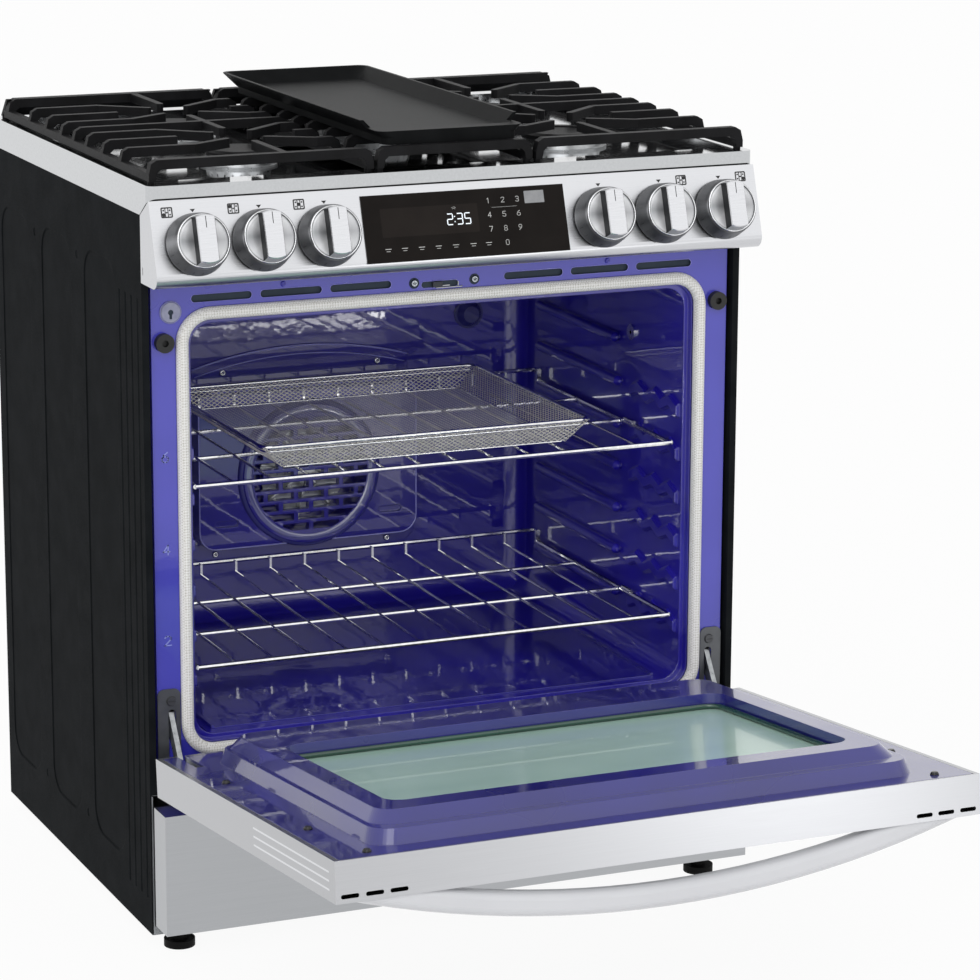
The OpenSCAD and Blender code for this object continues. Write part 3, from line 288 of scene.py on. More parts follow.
def turned_painted_sheen(name, stops, rough, metal):
    """Turned metal: soft sectors round the local axis, bright and dark as painted highlights and painted
    shade, and fine rings, as a lathe leaves them.
    """
    m = Mat(name)
    m.set(Metallic=metal)
    # the radial gradient paints the sectors: painted highlights and painted shade round the axis
    sector = m.node("ShaderNodeTexGradient", gradient_type="RADIAL")
    m.link(m.coords, sector.inputs[0])
    f = m.noise(900.0, detail=2.0)
    x = m.node("ShaderNodeMath", operation="MULTIPLY_ADD")
    x.inputs[1].default_value = 0.03
    m.link(f, x.inputs[0])
    m.link(sector.outputs[1], x.inputs[2])
    m.link(m.ramp(x.outputs[0], [(p + 0.015, rgb(c)) for p, c in stops]), m.bsdf.inputs["Base Color"])
    m.value(f, rough, rough * 1.3, "Roughness")
    m.bump(f, 0.04, 0.0001)
    return m.mat


def lit_digits():
    """Clock digits: pale, and a little bright of their own."""
    m = Mat("display_lit")
    m.set(Emission_Strength=0.55, Emission_Color=rgb("#DDE6EE"))
    m.colour(m.noise(400.0), "#D2DAE0", "#E6ECF0")
    m.value(m.noise(200.0), 0.3, 0.4, "Roughness")
    return m.mat


STEEL = brushed("steel_brushed", "#CDCED1", "#D1D2D5", (0.27, 0.3))
STEEL_DOOR = brushed("steel_door", "#B9BABD", "#BEBFC2", (0.3, 0.34))
STEEL_TOP = brushed("steel_cooktop", "#C4C6C8", "#CACCCE", (0.07, 0.09), (300, 300, 300))
STEEL_GREY = brushed("steel_grey", "#8E9093", "#A2A4A7", (0.25, 0.4))
# paler than the door's steel: painted highlights of the door's pressed lines
RIB_HIGHLIGHT = brushed("pressed_rib_highlight", "#E4E5E8", "#EAEBEE", (0.4, 0.5))
HINGE = brushed("hinge_steel", "#585A5D", "#646669", (0.35, 0.45), (60, 60, 60), metal=0.7)
# darker than the panel's steel: painted shadow of the open door over the drawer front
DRAWER_SHADED = brushed("steel_drawer_shaded", "#ACAEB1", "#B1B3B6", (0.28, 0.32))
KNOB = brushed("knob_metal", "#9C9DA0", "#C4C5C8", (0.16, 0.3), (240, 6, 240))
ALU = brushed("aluminium", "#A9ABAD", "#C0C2C4", (0.25, 0.4), (90, 90, 90))
KEY = brushed("start_key", "#86878A", "#98999B", (0.35, 0.5), (90, 90, 90), metal=0.4)
KNOB_TOP = brushed("knob_grip_top", "#CCCDD0", "#D6D7DA", (0.2, 0.28), (40, 1500, 40))

ARM = polished("hinge_arm_steel", "#8C8F92", "#A9ACAE", 0.25)
CHROME = polished("chrome", "#D8D9DA", "#EDEDEE")
BASKET = polished("basket_wire", "#DEDBD2", "#EFECE4", 0.35, metal=0.45)
KNOB_RIM = polished("knob_rim", "#D9DADC", "#E6E7E9", 0.12)

IRON = grained("cast_iron", "#0E0E0F", "#19191B", (0.42, 0.6), strength=0.3, spec=0.12, edge=0.0012)
GRIDDLE = grained("griddle_coat", "#121314", "#18191A", (0.36, 0.44), scale=1400.0, strength=0.15, spec=0.03,
                  edge=0.001)
SIDE = grained("side_paint", "#191B1D", "#202224", (0.45, 0.6), scale=700.0, strength=0.15, spec=0.006,
               edge=0.0015)
LATCH = grained("latch_steel", "#33363B", "#3D4046", (0.3, 0.4), scale=300.0, strength=0.05, spec=0.3)
GALV = grained("galvanised", "#7C7F82", "#94979A", (0.3, 0.55), scale=60.0, strength=0.05, spec=0.6)
RUBBER = grained("rubber", "#0B0B0B", "#141414", (0.5, 0.7), spec=0.1)
BLACK = grained("black_screw_coat", "#0C0C0D", "#19191A", (0.2, 0.35))
CERAMIC = grained("ceramic", "#DCDCD6", "#EBEBE6", (0.25, 0.4))
WOOL = grained("insulation_wool", "#C9BE86", "#DDD3A4", (0.9, 1.0), scale=300.0, strength=1.0)
BOARD = grained("board", "#14492A", "#1B5A36", (0.3, 0.5))
BLACKGLASS = grained("control_glass_black", "#15110F", "#1B1715", (0.06, 0.1), scale=200.0, strength=0.0,
                     spec=0.08)
PANE = grained("display_pane", "#1D1816", "#221D1A", (0.1, 0.14), scale=200.0, strength=0.0, spec=0.1)
# dark slate: painted shade in the slots, the keyhole and the screw drives, and the dark ring round the
# latch's screws
SLATE_DARK_AND_SHADE = grained("slate_dark_and_shade", "#2E3946", "#38434F", (0.4, 0.5), scale=200.0, strength=0.1, spec=0.2)
INK = grained("ink_black", "#0D0D0E", "#151516", (0.4, 0.5))
PRINT = grained("print_grey", "#C3C3C1", "#D6D6D4", (0.35, 0.5))
# dark grip sides are painted shade; the knobs' engraved marks share this dark
KNOB_MARKS_AND_SHADE = grained("knob_grip_side", "#27282A", "#2F3032", (0.4, 0.5), scale=300.0, strength=0.05, spec=0.15)

HANDLE = enamel("handle_silver", "#D3D4D8", "#D9DADE", rough=0.3, peel=0.02)
KNOB_END = enamel("knob_grip_end", "#A9AAAD", "#B3B4B7", rough=0.45, peel=0.02, coat=0.0)
CAVITY = enamel("enamel_cavity", "#1C138F", "#281DAA", rough=0.3, peel=0.13, scale=45.0, dist=0.0008, ior=1.7,
                edge=0.0025)
FLOOR_E = enamel("enamel_floor", "#150E7C", "#1F1698", rough=0.3, peel=0.2, scale=60.0, dist=0.0007, ior=1.6,
                 edge=0.0015)
FRAME = enamel("enamel_frame", "#3A39B4", "#4745C0", rough=0.25, peel=0.08, edge=0.001)
LINER = enamel("enamel_liner", "#232278", "#2A2986", rough=0.25, peel=0.05, edge=0.0015)
# bezel and fan-cover lines are paler than the cavity's enamel: painted highlights
BEZEL_HIGHLIGHT = enamel("enamel_bezel_highlight", "#5C5EA8", "#6C6EB6", rough=0.18, peel=0.05, scale=60.0, ior=2.2)
EDGE_HIGHLIGHT = enamel("enamel_edge_highlight", "#A5A4EE", "#B3B2F5", rough=0.2, peel=0.05)
# paler than the frame's enamel: painted highlights of the slots' folded edges
VENT_RIM_HIGHLIGHT = enamel("enamel_rim_highlight", "#6F6DCB", "#8280D6", rough=0.2, peel=0.05)
PLUG_RIM = enamel("plug_rim", "#7C7DB4", "#8A8BC0", rough=0.25, peel=0.05)
# paler than the frame's enamel: painted highlights of the pressed shelf numbers
NUMBER_HIGHLIGHT = enamel("enamel_number_highlight", "#7F86D8", "#8E95E2", rough=0.3, peel=0.05)
# dark green: the pane's edge, and painted shade and reflection of the window's inner wall
GLASS_EDGE_AND_SHADE = enamel("glass_edge_and_shade", "#0D3A2D", "#154A3B", rough=0.2, peel=0.02)

# inner pane nearly opaque and pale green: partly its tint, partly painted reflection and the light seen
# through it painted into its colour
GLASS_TINT_AND_REFLECTION = glass("door_glass_tint_and_reflection", "#BCE0D0", "#C8EADC", trans=0.05, rough=0.12)
GLASS_OUT = glass("door_glass_outer", "#26302D", "#2C3733", trans=0.06, rough=0.1)
# blue of the lamp's glass is a painted reflection of the blue cavity
LAMP_REFLECTION = glass("lamp_glass_reflection", "#3A3A86", "#4A4A9A", trans=0.3, rough=0.05)
GASKET = gasket_mat()
LIT = lit_digits()

# the ramp runs once round from the far left: 0 left, 0.25 bottom, 0.5 right, 0.75 top; its light stops are
# painted highlights and its dark stops painted shade
KNOB_FACE_PAINTED_SHEEN = turned_painted_sheen("knob_face", [
    (0.0, "#A2A4A7"), (0.1, "#DCDDDF"), (0.25, "#B9BABD"), (0.4, "#DADBDD"), (0.5, "#B4B5B8"),
    (0.62, "#E2E3E5"), (0.75, "#B9BABD"), (0.9, "#D8D9DB"), (0.985, "#A2A4A7")], rough=0.35, metal=0.35)
KNOB_SKIRT_PAINTED_SHEEN = turned_painted_sheen("knob_skirt", [
    (0.0, "#8E8F92"), (0.05, "#4C4D50"), (0.14, "#3A3B3D"), (0.25, "#737477"), (0.4, "#5B5C60"),
    (0.6, "#8C8D90"), (0.75, "#7A7B7E"), (0.86, "#424346"), (0.95, "#4C4D50"), (0.985, "#8E8F92")],
    rough=0.42, metal=0.35)

# one node each: dark, steel and blue screws from the bottom up; rubber bumpers, and the plug above them
FRAME_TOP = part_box("front_frame")[1].z
SCREWS = parted("screw_heads", [
    (0.0, ("#48494C", "#525356"), 0.5, 0.35),
    (0.5, ("#8E9398", "#A2A7AB"), 1.0, 0.25),
    (FRAME_TOP - 0.018, ("#4542B0", "#4B48B8"), 0.0, 0.3)])
BUMPERS = parted("bumpers_and_plug", [
    (0.0, ("#0B0B0B", "#151515"), 0.0, 0.5),
    (FRAME_TOP - 0.054, ("#8688A0", "#9698AC"), 0.4, 0.3)])

DRESS = {
    STEEL: ["control_panel"],
    STEEL_DOOR: ["door_skin"],
    STEEL_TOP: ["cooktop"],
    STEEL_GREY: ["door_hinge_channels", "drawer_rails", "fan_motor", "broil_burner", "bake_burner"],
    HINGE: ["hinge_plates"],
    DRAWER_SHADED: ["drawer_front"],
    SCREWS: ["frame_screws"],
    BUMPERS: ["frame_bumpers"],
    LATCH: ["door_latch"],
    ARM: ["hinge_arms"],
    CHROME: ["probe_socket", "temperature_sensor", "rack_upper", "rack_lower", "fry_basket"]
            + ["stem_%d" % k for k in range(1, 7)],
    HANDLE: ["door_handle"],
    KNOB: ["knob_%d" % k for k in range(1, 7)],
    IRON: ["grate_left", "grate_center", "grate_right", "burner_caps"],
    GRIDDLE: ["griddle"],
    CAVITY: ["oven_cavity", "fan_cover"],
    FLOOR_E: ["oven_floor"],
    FRAME: ["front_frame"],
    LINER: ["door_liner"],
    SIDE: ["side_panel_left", "side_panel_right"],
    GALV: ["rear_panel", "base_frame", "drawer_box"],
    RUBBER: ["levelling_feet"],
    BLACK: ["door_screws"],
    ALU: ["burner_bases", "gas_manifold", "fan_blade"],
    CERAMIC: ["igniters"],
    WOOL: ["insulation_wrap"],
    BOARD: ["control_board"],
    BLACKGLASS: ["control_glass"],
    GLASS_TINT_AND_REFLECTION: ["door_glass_inner"],
    GLASS_OUT: ["door_glass_outer"],
    LAMP_REFLECTION: ["oven_lamp"],
    GASKET: ["door_gasket"],
}
for mat, names in DRESS.items():
    for n in names:
        o = NODES[n]
        if not o.data.materials:
            o.data.materials.append(mat)
        for i in range(len(o.material_slots)):
            o.material_slots[i].material = mat


# ---------------------------------------------------------------- geometry helpers, in millimetres
FY = 14.2  # y of the front frame's face
PANEL_TILT, PANEL_Y, PANEL_Z = rad(71.66), -37.6, 897.5  # slope and top edge of the control face
DOOR_TURN, DOOR_Y, DOOR_Z = rad(84.13), -41.1, 212.2  # angle of the open door and place of its hinge pin
PIN_Y, PIN_U = -32.5, 7.2  # the same pin in the door's own measures


def F(x, y, z):
    """Millimetres measured from the front frame face to metres in the shared frame."""
    return Vector((x * MM, (y + FY) * MM, z * MM))


def on_panel(x, y, z=0.0):
    """Point of the sloping control face: x right, y up the slope from its top edge, z outwards."""
    c, s = math.cos(PANEL_TILT), math.sin(PANEL_TILT)
    return F(x, PANEL_Y + y * c - z * s, PANEL_Z + y * s + z * c)


def in_door(x, y, u):
    """Point of the open door: u up the closed door from its lower edge, y inwards."""
    c, s = math.cos(DOOR_TURN), math.sin(DOOR_TURN)
    return F(x, DOOR_Y + c * (y - PIN_Y) - s * (u - PIN_U), DOOR_Z + s * (y - PIN_Y) + c * (u - PIN_U))


def own(x, y, z):
    """Millimetres in a piece's own axes."""
    return Vector((x * MM, y * MM, z * MM))


def ring(x0, x1, y0, y1, r, n=8):
    """Rounded rectangle as a list of points, anticlockwise."""
    out = []
    corners = ((x1 - r, y1 - r, 0), (x0 + r, y1 - r, 90), (x0 + r, y0 + r, 180), (x1 - r, y0 + r, 270))
    for cx, cy, a0 in corners:
        out += [(cx + r * math.cos(rad(a0 + 90 * k / n)), cy + r * math.sin(rad(a0 + 90 * k / n)))
                for k in range(n + 1)]
    return out


def level(z, pts):
    """Points (x, y) laid flat at height z."""
    return [F(x, y, z) for x, y in pts]


def upright(y, pts):
    """Points (x, z) stood up at depth y."""
    return [F(x, y, z) for x, z in pts]


class Build:
    """Collects simple solids into one mesh."""

    def __init__(self):
        self.v, self.f = [], []

    def add(self, verts, faces):
        k = len(self.v)
        self.v += [tuple(p) for p in verts]
        self.f += [tuple(i + k for i in f) for f in faces]

    def prism(self, pts, depth):
        """Closed plate between the ring pts and the same ring moved by depth."""
        n = len(pts)
        d = Vector(depth)
        self.add(list(pts) + [Vector(p) + d for p in pts],
                 [tuple(range(n))[::-1], tuple(range(n, 2 * n))]
                 + [(i, (i + 1) % n, n + (i + 1) % n, n + i) for i in range(n)])

    def strand(self, a, b, up, w, h):
        """Flat bar from a to b, w wide and h thick."""
        t = (b - a).normalized()
        s = t.cross(up).normalized() * (w / 2)
        u = up.normalized() * (h / 2)
        self.add([a - s - u, a + s - u, a + s + u, a - s + u, b - s - u, b + s - u, b + s + u, b - s + u],
                 [(3, 2, 1, 0), (4, 5, 6, 7), (0, 1, 5, 4), (1, 2, 6, 5), (2, 3, 7, 6), (3, 0, 4, 7)])

    def tube(self, pts, r, sides=8, closed=False):
        """Round bar of radius r along pts, back to its start when closed."""
        n = len(pts)
        pts = [Vector(p) for p in pts]
        prev = None
        for i, p in enumerate(pts):
            if closed:
                t = (pts[(i + 1) % n] - pts[i - 1]).normalized()
            else:
                t = (pts[min(i + 1, n - 1)] - pts[max(i - 1, 0)]).normalized()
            if prev is None:
                ref = Vector((0, 0, 1)) if abs(t.z) < 0.9 else Vector((1, 0, 0))
                u = t.cross(ref).normalized()
            else:
                u = (prev - t * prev.dot(t)).normalized()
            prev = u
            w = t.cross(u)
            for k in range(sides):
                a = 2 * math.pi * k / sides
                self.v.append(tuple(p + (u * math.cos(a) + w * math.sin(a)) * r))
        base = len(self.v) - n * sides
        for i in range(n if closed else n - 1):
            a, b = base + i * sides, base + ((i + 1) % n) * sides
            for k in range(sides):
                self.f.append((a + k, a + (k + 1) % sides, b + (k + 1) % sides, b + k))
        if not closed:
            self.f.append(tuple(base + k for k in range(sides))[::-1])
            self.f.append(tuple(base + (n - 1) * sides + k for k in range(sides)))

    def lathe(self, place, prof, n):
        """Turned ring about the local axis; prof is a closed loop of (radius, height)."""
        k = len(self.v)
        for r, z in prof:
            for i in range(n):
                t = 2 * math.pi * i / n
                self.v.append(tuple(place(r * math.cos(t), r * math.sin(t), z)))
        for j in range(len(prof)):
            p, q = k + j * n, k + ((j + 1) % len(prof)) * n
            for i in range(n):
                self.f.append((p + i, p + (i + 1) % n, q + (i + 1) % n, q + i))

    def done(self, name, body, mat, slot=None, smooth=False):
        """Make the piece's mesh, with its look and body; slot is not used."""
        me = bpy.data.meshes.new(name)
        me.from_pydata(self.v, [], self.f)
        me.validate()
        bm = bmesh.new()
        bm.from_mesh(me)
        bmesh.ops.recalc_face_normals(bm, faces=bm.faces)
        bm.to_mesh(me)
        bm.free()
        if smooth:
            for p in me.polygons:
                p.use_smooth = True
        me.materials.append(mat)
        o = bpy.data.objects.new(name, me)
        bpy.context.scene.collection.objects.link(o)
        if body:
            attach(o, body)
        return o


# ---------------------------------------------------------------- mesh basket
def clip(poly, p, d):
    """The stretch of the line p + t d inside a convex anticlockwise polygon, or None."""
    lo, hi = -1e9, 1e9
    for i, a in enumerate(poly):
        b = poly[(i + 1) % len(poly)]
        nx, ny = -(b[1] - a[1]), b[0] - a[0]
        den = nx * d[0] + ny * d[1]
        num = nx * (a[0] - p[0]) + ny * (a[1] - p[1])
        if abs(den) < 1e-12:
            if num > 0:
                return None
        elif den > 0:
            lo = max(lo, num / den)
        else:
            hi = min(hi, num / den)
    return (lo, hi) if hi - lo > 1e-6 else None


def lattice(b, place, poly, cell, up, w, h):
    """Diamond mesh over a convex polygon; cell is its width and height, w and h the strand's."""
    xs = [p[0] for p in poly]
    ys = [p[1] for p in poly]
    x0, x1, y0, y1 = min(xs), max(xs), min(ys), max(ys)
    cw, ch = cell
    reach = (x1 - x0) / cw + (y1 - y0) / ch
    for s in (1, -1):
        for i in range(int(reach) + 2):
            p = (x0 - (y1 - y0) * cw / ch + i * cw, y0) if s > 0 else (x0 + i * cw, y0)
            d = (s * cw / ch, 1.0)
            t = clip(poly, p, d)
            if t:
                a = place(p[0] + d[0] * t[0], p[1] + d[1] * t[0])
                c = place(p[0] + d[0] * t[1], p[1] + d[1] * t[1])
                b.strand(a, c, up, w * MM, h * MM)


FLOOR_CELL, WALL_CELL = (9.0, 6.4), (7.6, 4.8)
RIM_R, RIM2_R, FOOT_R = 2.4, 1.1, 1.2  # wires of the rim, under the rim and round the floor


def basket():
    """Mesh floor and four sloping walls in place of the plain solid, and its wires."""
    lo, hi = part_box("fry_basket")
    z0, z1 = lo.z / MM + 0.5, hi.z / MM - 2.5
    y0, y1, x1 = lo.y / MM - FY, hi.y / MM - FY, hi.x / MM
    fx, fy0, fy1 = 184, y0 + 12, y1 - 12  # the floor's edges
    rx, ry0, ry1 = x1 - 3, y0 + 3, y1 - 3  # the rim's edges
    b = Build()
    lattice(b, lambda x, y: F(x, y, z0), [(-fx, fy0), (fx, fy0), (fx, fy1), (-fx, fy1)], FLOOR_CELL,
            Vector((0, 0, 1)), 0.8, 0.2)

    def wall(p0, p1, q0, q1):
        """p0, p1 lower corners and q0, q1 upper corners, in millimetres of the plan."""
        a, c = Vector((*p0, z0)), Vector((*p1, z0))
        top = Vector((*q0, z1))
        u = (c - a).normalized()
        v = top - a
        off = v.dot(u)
        v = v - u * off
        n = u.cross(v).normalized()
        ln, lq = (c - a).length, (Vector((*q1, z1)) - a).dot(u)
        vh = v.length
        vn = v.normalized()

        def place(s, t):
            p = a + u * s + vn * t
            return F(p.x, p.y, p.z)
        lattice(b, place, [(0, 0), (ln, 0), (lq, vh), (off, vh)], WALL_CELL, n, 0.85, 0.5)
    wall((-fx, fy0), (fx, fy0), (-rx, ry0), (rx, ry0))
    wall((fx, fy0), (fx, fy1), (rx, ry0), (rx, ry1))
    wall((fx, fy1), (-fx, fy1), (rx, ry1), (-rx, ry1))
    wall((-fx, fy1), (-fx, fy0), (-rx, ry1), (-rx, ry0))
    o = b.done("basket_mesh", "basket", BASKET, "wire")
    r = Build()
    r.tube(level(z1, ring(-rx, rx, ry0, ry1, 14)), RIM_R * MM, 10, closed=True)
    r.tube(level(z1 - 5.5, ring(-rx + 2.5, rx - 2.5, ry0 + 1.2, ry1 - 1.2, 13)), RIM2_R * MM, 8, closed=True)
    r.tube(level(z0 + 0.6, ring(-fx, fx, fy0, fy1, 8)), FOOT_R * MM, 8, closed=True)
    r.done("basket_rim", "basket", CHROME, "wire", smooth=True)
    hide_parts("fry_basket")


basket()


# ---------------------------------------------------------------- knobs
KNOB_X = [-329.8, -251.0, -172.2, 172.2, 251.0, 329.8]
KNOB_Y = -52.5
KNOB_SIDES = 72
# ring profiles of a knob: (radius, height over the control face)
SKIRT_RING = [(4.3, 26.5), (30.0, 26.5), (31.5, 4.4), (34.4, 3.2), (35.6, 3.3), (36.0, 4.2), (35.7, 6.5),
              (34.9, 12), (34.0, 18), (33.1, 24), (32.5, 27.4), (32.0, 28.3), (31.2, 28.6), (30.9, 28.3),
              (30.9, 27.6), (4.3, 27.6)]
RIM_RING = [(29.3, 28.4), (31.0, 28.4), (31.1, 29.4), (30.8, 30.4), (30.2, 31.0), (29.6, 30.9), (29.2, 30.2)]
FACE_RING = [(4.3, 28.2), (28.7, 28.2), (28.9, 28.9), (28.6, 29.5), (26.0, 29.9), (4.3, 30.1)]
GRIP_W, GRIP_R, GRIP_LOW, GRIP_TOP = 11.2, 29.0, 29.4, 45.0  # half width, end radius, lower and upper height


def grip_plan(w, r, n=12):
    """Plan of the grip: half width w, with its ends on a circle of radius r."""
    a = math.asin(w / r)
    top = [(r * math.sin(a - 2 * a * i / n), r * math.cos(a - 2 * a * i / n)) for i in range(n + 1)]
    return top + [(-x, -y) for x, y in top]


def knob(k):
    """Skirt, rim, face, grip and marks of one knob, all on the knob's body."""
    body = "knob_%d" % (k + 1)
    outward = on_panel(0, 0, 1) - on_panel(0, 0, 0)
    rise = on_panel(0, 1, 0) - on_panel(0, 0, 0)
    turn = Matrix(((1, 0, 0), tuple(rise / MM), tuple(outward / MM))).transposed().to_4x4()
    seat = Matrix.Translation(on_panel(KNOB_X[k], KNOB_Y, 0)) @ turn

    def piece(b, name, mat, smooth=True):
        o = b.done("%s_%d" % (name, k + 1), None, mat, None, smooth)
        o.matrix_world = seat
        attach(o, body)
        return o
    # skirt and face carry painted highlights and painted shade in sectors
    for prof, name, mat in ((SKIRT_RING, "knob_skirt", KNOB_SKIRT_PAINTED_SHEEN), (RIM_RING, "knob_rim", KNOB_RIM),
                            (FACE_RING, "knob_face", KNOB_FACE_PAINTED_SHEEN)):
        b = Build()
        b.lathe(own, prof, KNOB_SIDES)
        piece(b, name, mat)
    # raised grip: sides darkened as painted shade, bright top with rounded ends and a short pointer groove
    g = Build()
    rings = [(grip_plan(GRIP_W + 0.2, GRIP_R + 0.6), GRIP_LOW),
             (grip_plan(GRIP_W, GRIP_R - 0.6), GRIP_TOP - 4),
             (grip_plan(GRIP_W - 0.1, GRIP_R - 1.3), GRIP_TOP - 1.2),
             (grip_plan(GRIP_W - 0.9, GRIP_R - 2.4), GRIP_TOP)]
    n = len(rings[0][0])
    for plan, z in rings:
        g.v += [tuple(own(x, y, z)) for x, y in plan]
    for j in range(len(rings) - 1):
        p, q = j * n, (j + 1) * n
        g.f += [(p + i, p + (i + 1) % n, q + (i + 1) % n, q + i) for i in range(n)]
    g.f.append(tuple(range(n))[::-1])
    g.f.append(tuple(range(len(g.v) - n, len(g.v))))
    o = piece(g, "knob_grip", KNOB_MARKS_AND_SHADE, False)
    o.data.materials.append(KNOB_TOP)
    o.data.materials.append(KNOB_END)
    for f in o.data.polygons:
        # upward faces take the bright top, the ends the plain grey, the sides the dark finish as painted
        # shade
        f.material_index = 1 if f.normal.z > 0.35 else 2 if abs(f.normal.y) > 0.5 else 0
    t = Build()
    groove = ((-0.45, 12.5), (0.45, 12.5), (0.45, 25.8), (-0.45, 25.8))
    t.prism([own(x, y, GRIP_TOP - 0.12) for x, y in groove], own(0, 0, 0.14))
    # nine short engraved ticks round the skirt, where the settings are
    for i in range(9):
        a = rad(200 + i * 17.5)
        c = Vector((math.cos(a), math.sin(a)))
        e = Vector((-c.y, c.x)) * 0.3
        tick = ((35.35, -1, 9), (34.35, -1, 16), (34.35, 1, 16), (35.35, 1, 9))
        t.prism([own(*(c * q + e * w), z) for q, w, z in tick], own(c.x * 0.12, c.y * 0.12, 0))
    piece(t, "knob_mark", KNOB_MARKS_AND_SHADE, False)
    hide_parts("knob_%d" % (k + 1))


for k in range(6):
    knob(k)


# ---------------------------------------------------------------- marks on the control panel
def flat(b, place, pts, lift=0.05, thick=0.1):
    """Thin printed mark: a polygon of the face, lifted off it."""
    b.prism([place(x, y, lift) for x, y in pts], place(0, 0, thick) - place(0, 0, 0))


def line(b, place, p, q, w, lift=0.05, thick=0.1):
    """Printed stroke from p to q, w wide, with square ends."""
    a, c = Vector(p), Vector(q)
    d = (c - a).normalized()
    s = Vector((-d.y, d.x)) * (w / 2)
    e = d * (w / 2)
    flat(b, place, [a - s - e, c - s + e, c + s + e, a + s - e], lift, thick)


STROKES = {  # single stroke digits on a 4 by 6 grid
    "0": [[(1, 0), (3, 0), (4, 1), (4, 5), (3, 6), (1, 6), (0, 5), (0, 1), (1, 0)]],
    "1": [[(0.8, 4.8), (2.2, 6), (2.2, 0)]],
    "2": [[(0, 5), (1, 6), (3, 6), (4, 5), (4, 4), (0, 0), (4, 0)]],
    "3": [[(0, 5.2), (1, 6), (3, 6), (4, 5), (4, 4), (3, 3), (1.5, 3)],
          [(3, 3), (4, 2), (4, 1), (3, 0), (1, 0), (0, 0.8)]],
    "4": [[(3, 0), (3, 6), (0, 1.8), (4, 1.8)]],
    "5": [[(4, 6), (0.4, 6), (0, 3.4), (2.6, 3.6), (4, 2.6), (4, 1), (3, 0), (1, 0), (0, 0.8)]],
    "6": [[(3.4, 6), (1, 4.4), (0, 2.4), (0, 1), (1, 0), (3, 0), (4, 1), (4, 2.4), (3, 3.4), (1, 3.4),
           (0, 2.4)]],
    "7": [[(0, 6), (4, 6), (1.4, 0)]],
    "8": [[(1, 3), (0.2, 4), (0.2, 5), (1, 6), (3, 6), (3.8, 5), (3.8, 4), (3, 3), (1, 3), (0, 2), (0, 1),
           (1, 0), (3, 0), (4, 1), (4, 2), (3, 3)]],
    "9": [[(0.6, 0), (3, 1.6), (4, 3.6), (4, 5), (3, 6), (1, 6), (0, 5), (0, 3.6), (1, 2.6), (3, 2.6),
           (4, 3.6)]],
}


def digit(b, place, ch, x, y, h, w, lift=0.05, thick=0.1):
    """Digit of height h centred on x, y, in strokes w wide."""
    k = h / 6
    for run in STROKES[ch]:
        ends = [(x + (p - 2) * k, y + (q - 3) * k) for p, q in run]
        for a, c in zip(ends, ends[1:]):
            line(b, place, a, c, w, lift, thick)


def seven(b, place, ch, x, y, h, w):
    """Seven segment clock digit of height h centred on x, y."""
    on = {"2": "abged", "3": "abgcd", "5": "afgcd"}[ch]
    hw, hh, g = h * 0.27, h / 2, w * 0.75
    seg = {"a": ((-hw + g, hh), (hw - g, hh)), "g": ((-hw + g, 0), (hw - g, 0)),
           "d": ((-hw + g, -hh), (hw - g, -hh)), "f": ((-hw, hh - g), (-hw, g)), "b": ((hw, hh - g), (hw, g)),
           "e": ((-hw, -g), (-hw, -hh + g)), "c": ((hw, -g), (hw, -hh + g))}
    for s in on:
        p, q = seg[s]
        line(b, place, (x + p[0], y + p[1]), (x + q[0], y + q[1]), w)


def icon(b, place, x, y, spot):
    """Small plan of the hob: rounded frame, two bars and five spots, the larger one at spot."""
    w, h, border = 6.9, 6.1, 1.5
    o = [(x + p, y + q) for p, q in ring(-w, w, -h, h, 1.6, 3)]
    i = [(x + p, y + q) for p, q in ring(-w + border, w - border, -h + border, h - border, 0.8, 3)]
    n = len(o)
    for k in range(n):
        m = (k + 1) % n
        flat(b, place, [o[k], o[m], i[m], i[k]])
    for dx in (-1.7, 1.7):
        line(b, place, (x + dx, y - h + 1.0), (x + dx, y + h - 1.0), 1.0)
    for sx, sy in ((-1, -1), (-1, 1), (1, -1), (1, 1), (0, 0)):
        c = (x + sx * 3.7, y + sy * 2.5)
        r = 2.2 if (sx, sy) == spot else 1.05
        flat(b, place, [(c[0] + r * math.cos(k * math.pi / 4), c[1] + r * math.sin(k * math.pi / 4))
                        for k in range(8)])


# a pointer over each knob, and the plan of the hob beside the five burner knobs
marks = Build()
SPOTS = [(-1, -1), (-1, 1), (0, 0), None, (1, 1), (1, -1)]
for k, x in enumerate(KNOB_X):
    flat(marks, on_panel, [(x + 1, KNOB_Y + 37.4), (x + 4.1, KNOB_Y + 41.1), (x - 2.1, KNOB_Y + 41.1)])
    if SPOTS[k]:
        icon(marks, on_panel, x + (-29.5 if k < 3 else 30.5), KNOB_Y + 38.7, SPOTS[k])
marks.done("panel_marks", "root", INK)

# printed keypad, clock and start key on the control glass
GLASS_UP = 1.25  # the glass stands this much above the panel
KEYPAD_X, KEYPAD_Y, KEY_DX, KEY_DY = 30.5, -23.5, 18.4, 16.6
KEY_H, KEY_W = 5.8, 0.62  # height and stroke of the keypad's digits


def glass_at(x, y, z=0.0):
    """Point of the control glass's face, in the panel's measures."""
    return on_panel(x, y, z + GLASS_UP)


keys = Build()
for i, ch in enumerate("123456789"):
    digit(keys, glass_at, ch, KEYPAD_X + (i % 3) * KEY_DX, KEYPAD_Y - (i // 3) * KEY_DY, KEY_H, KEY_W)
digit(keys, glass_at, "0", 49.0, -73.5, KEY_H, KEY_W)
line(keys, glass_at, (34, -31.8), (66, -31.8), 0.25)
# touch places without words: a long dash over a short one
for x in (-100, -79.5, -58.5, -37.5, -16, 6, 25.5):
    line(keys, glass_at, (x - 3.4, -72.5), (x + 3.4, -72.5), 0.7)
    line(keys, glass_at, (x - 2.2, -75.2), (x + 2.2, -75.2), 0.5)
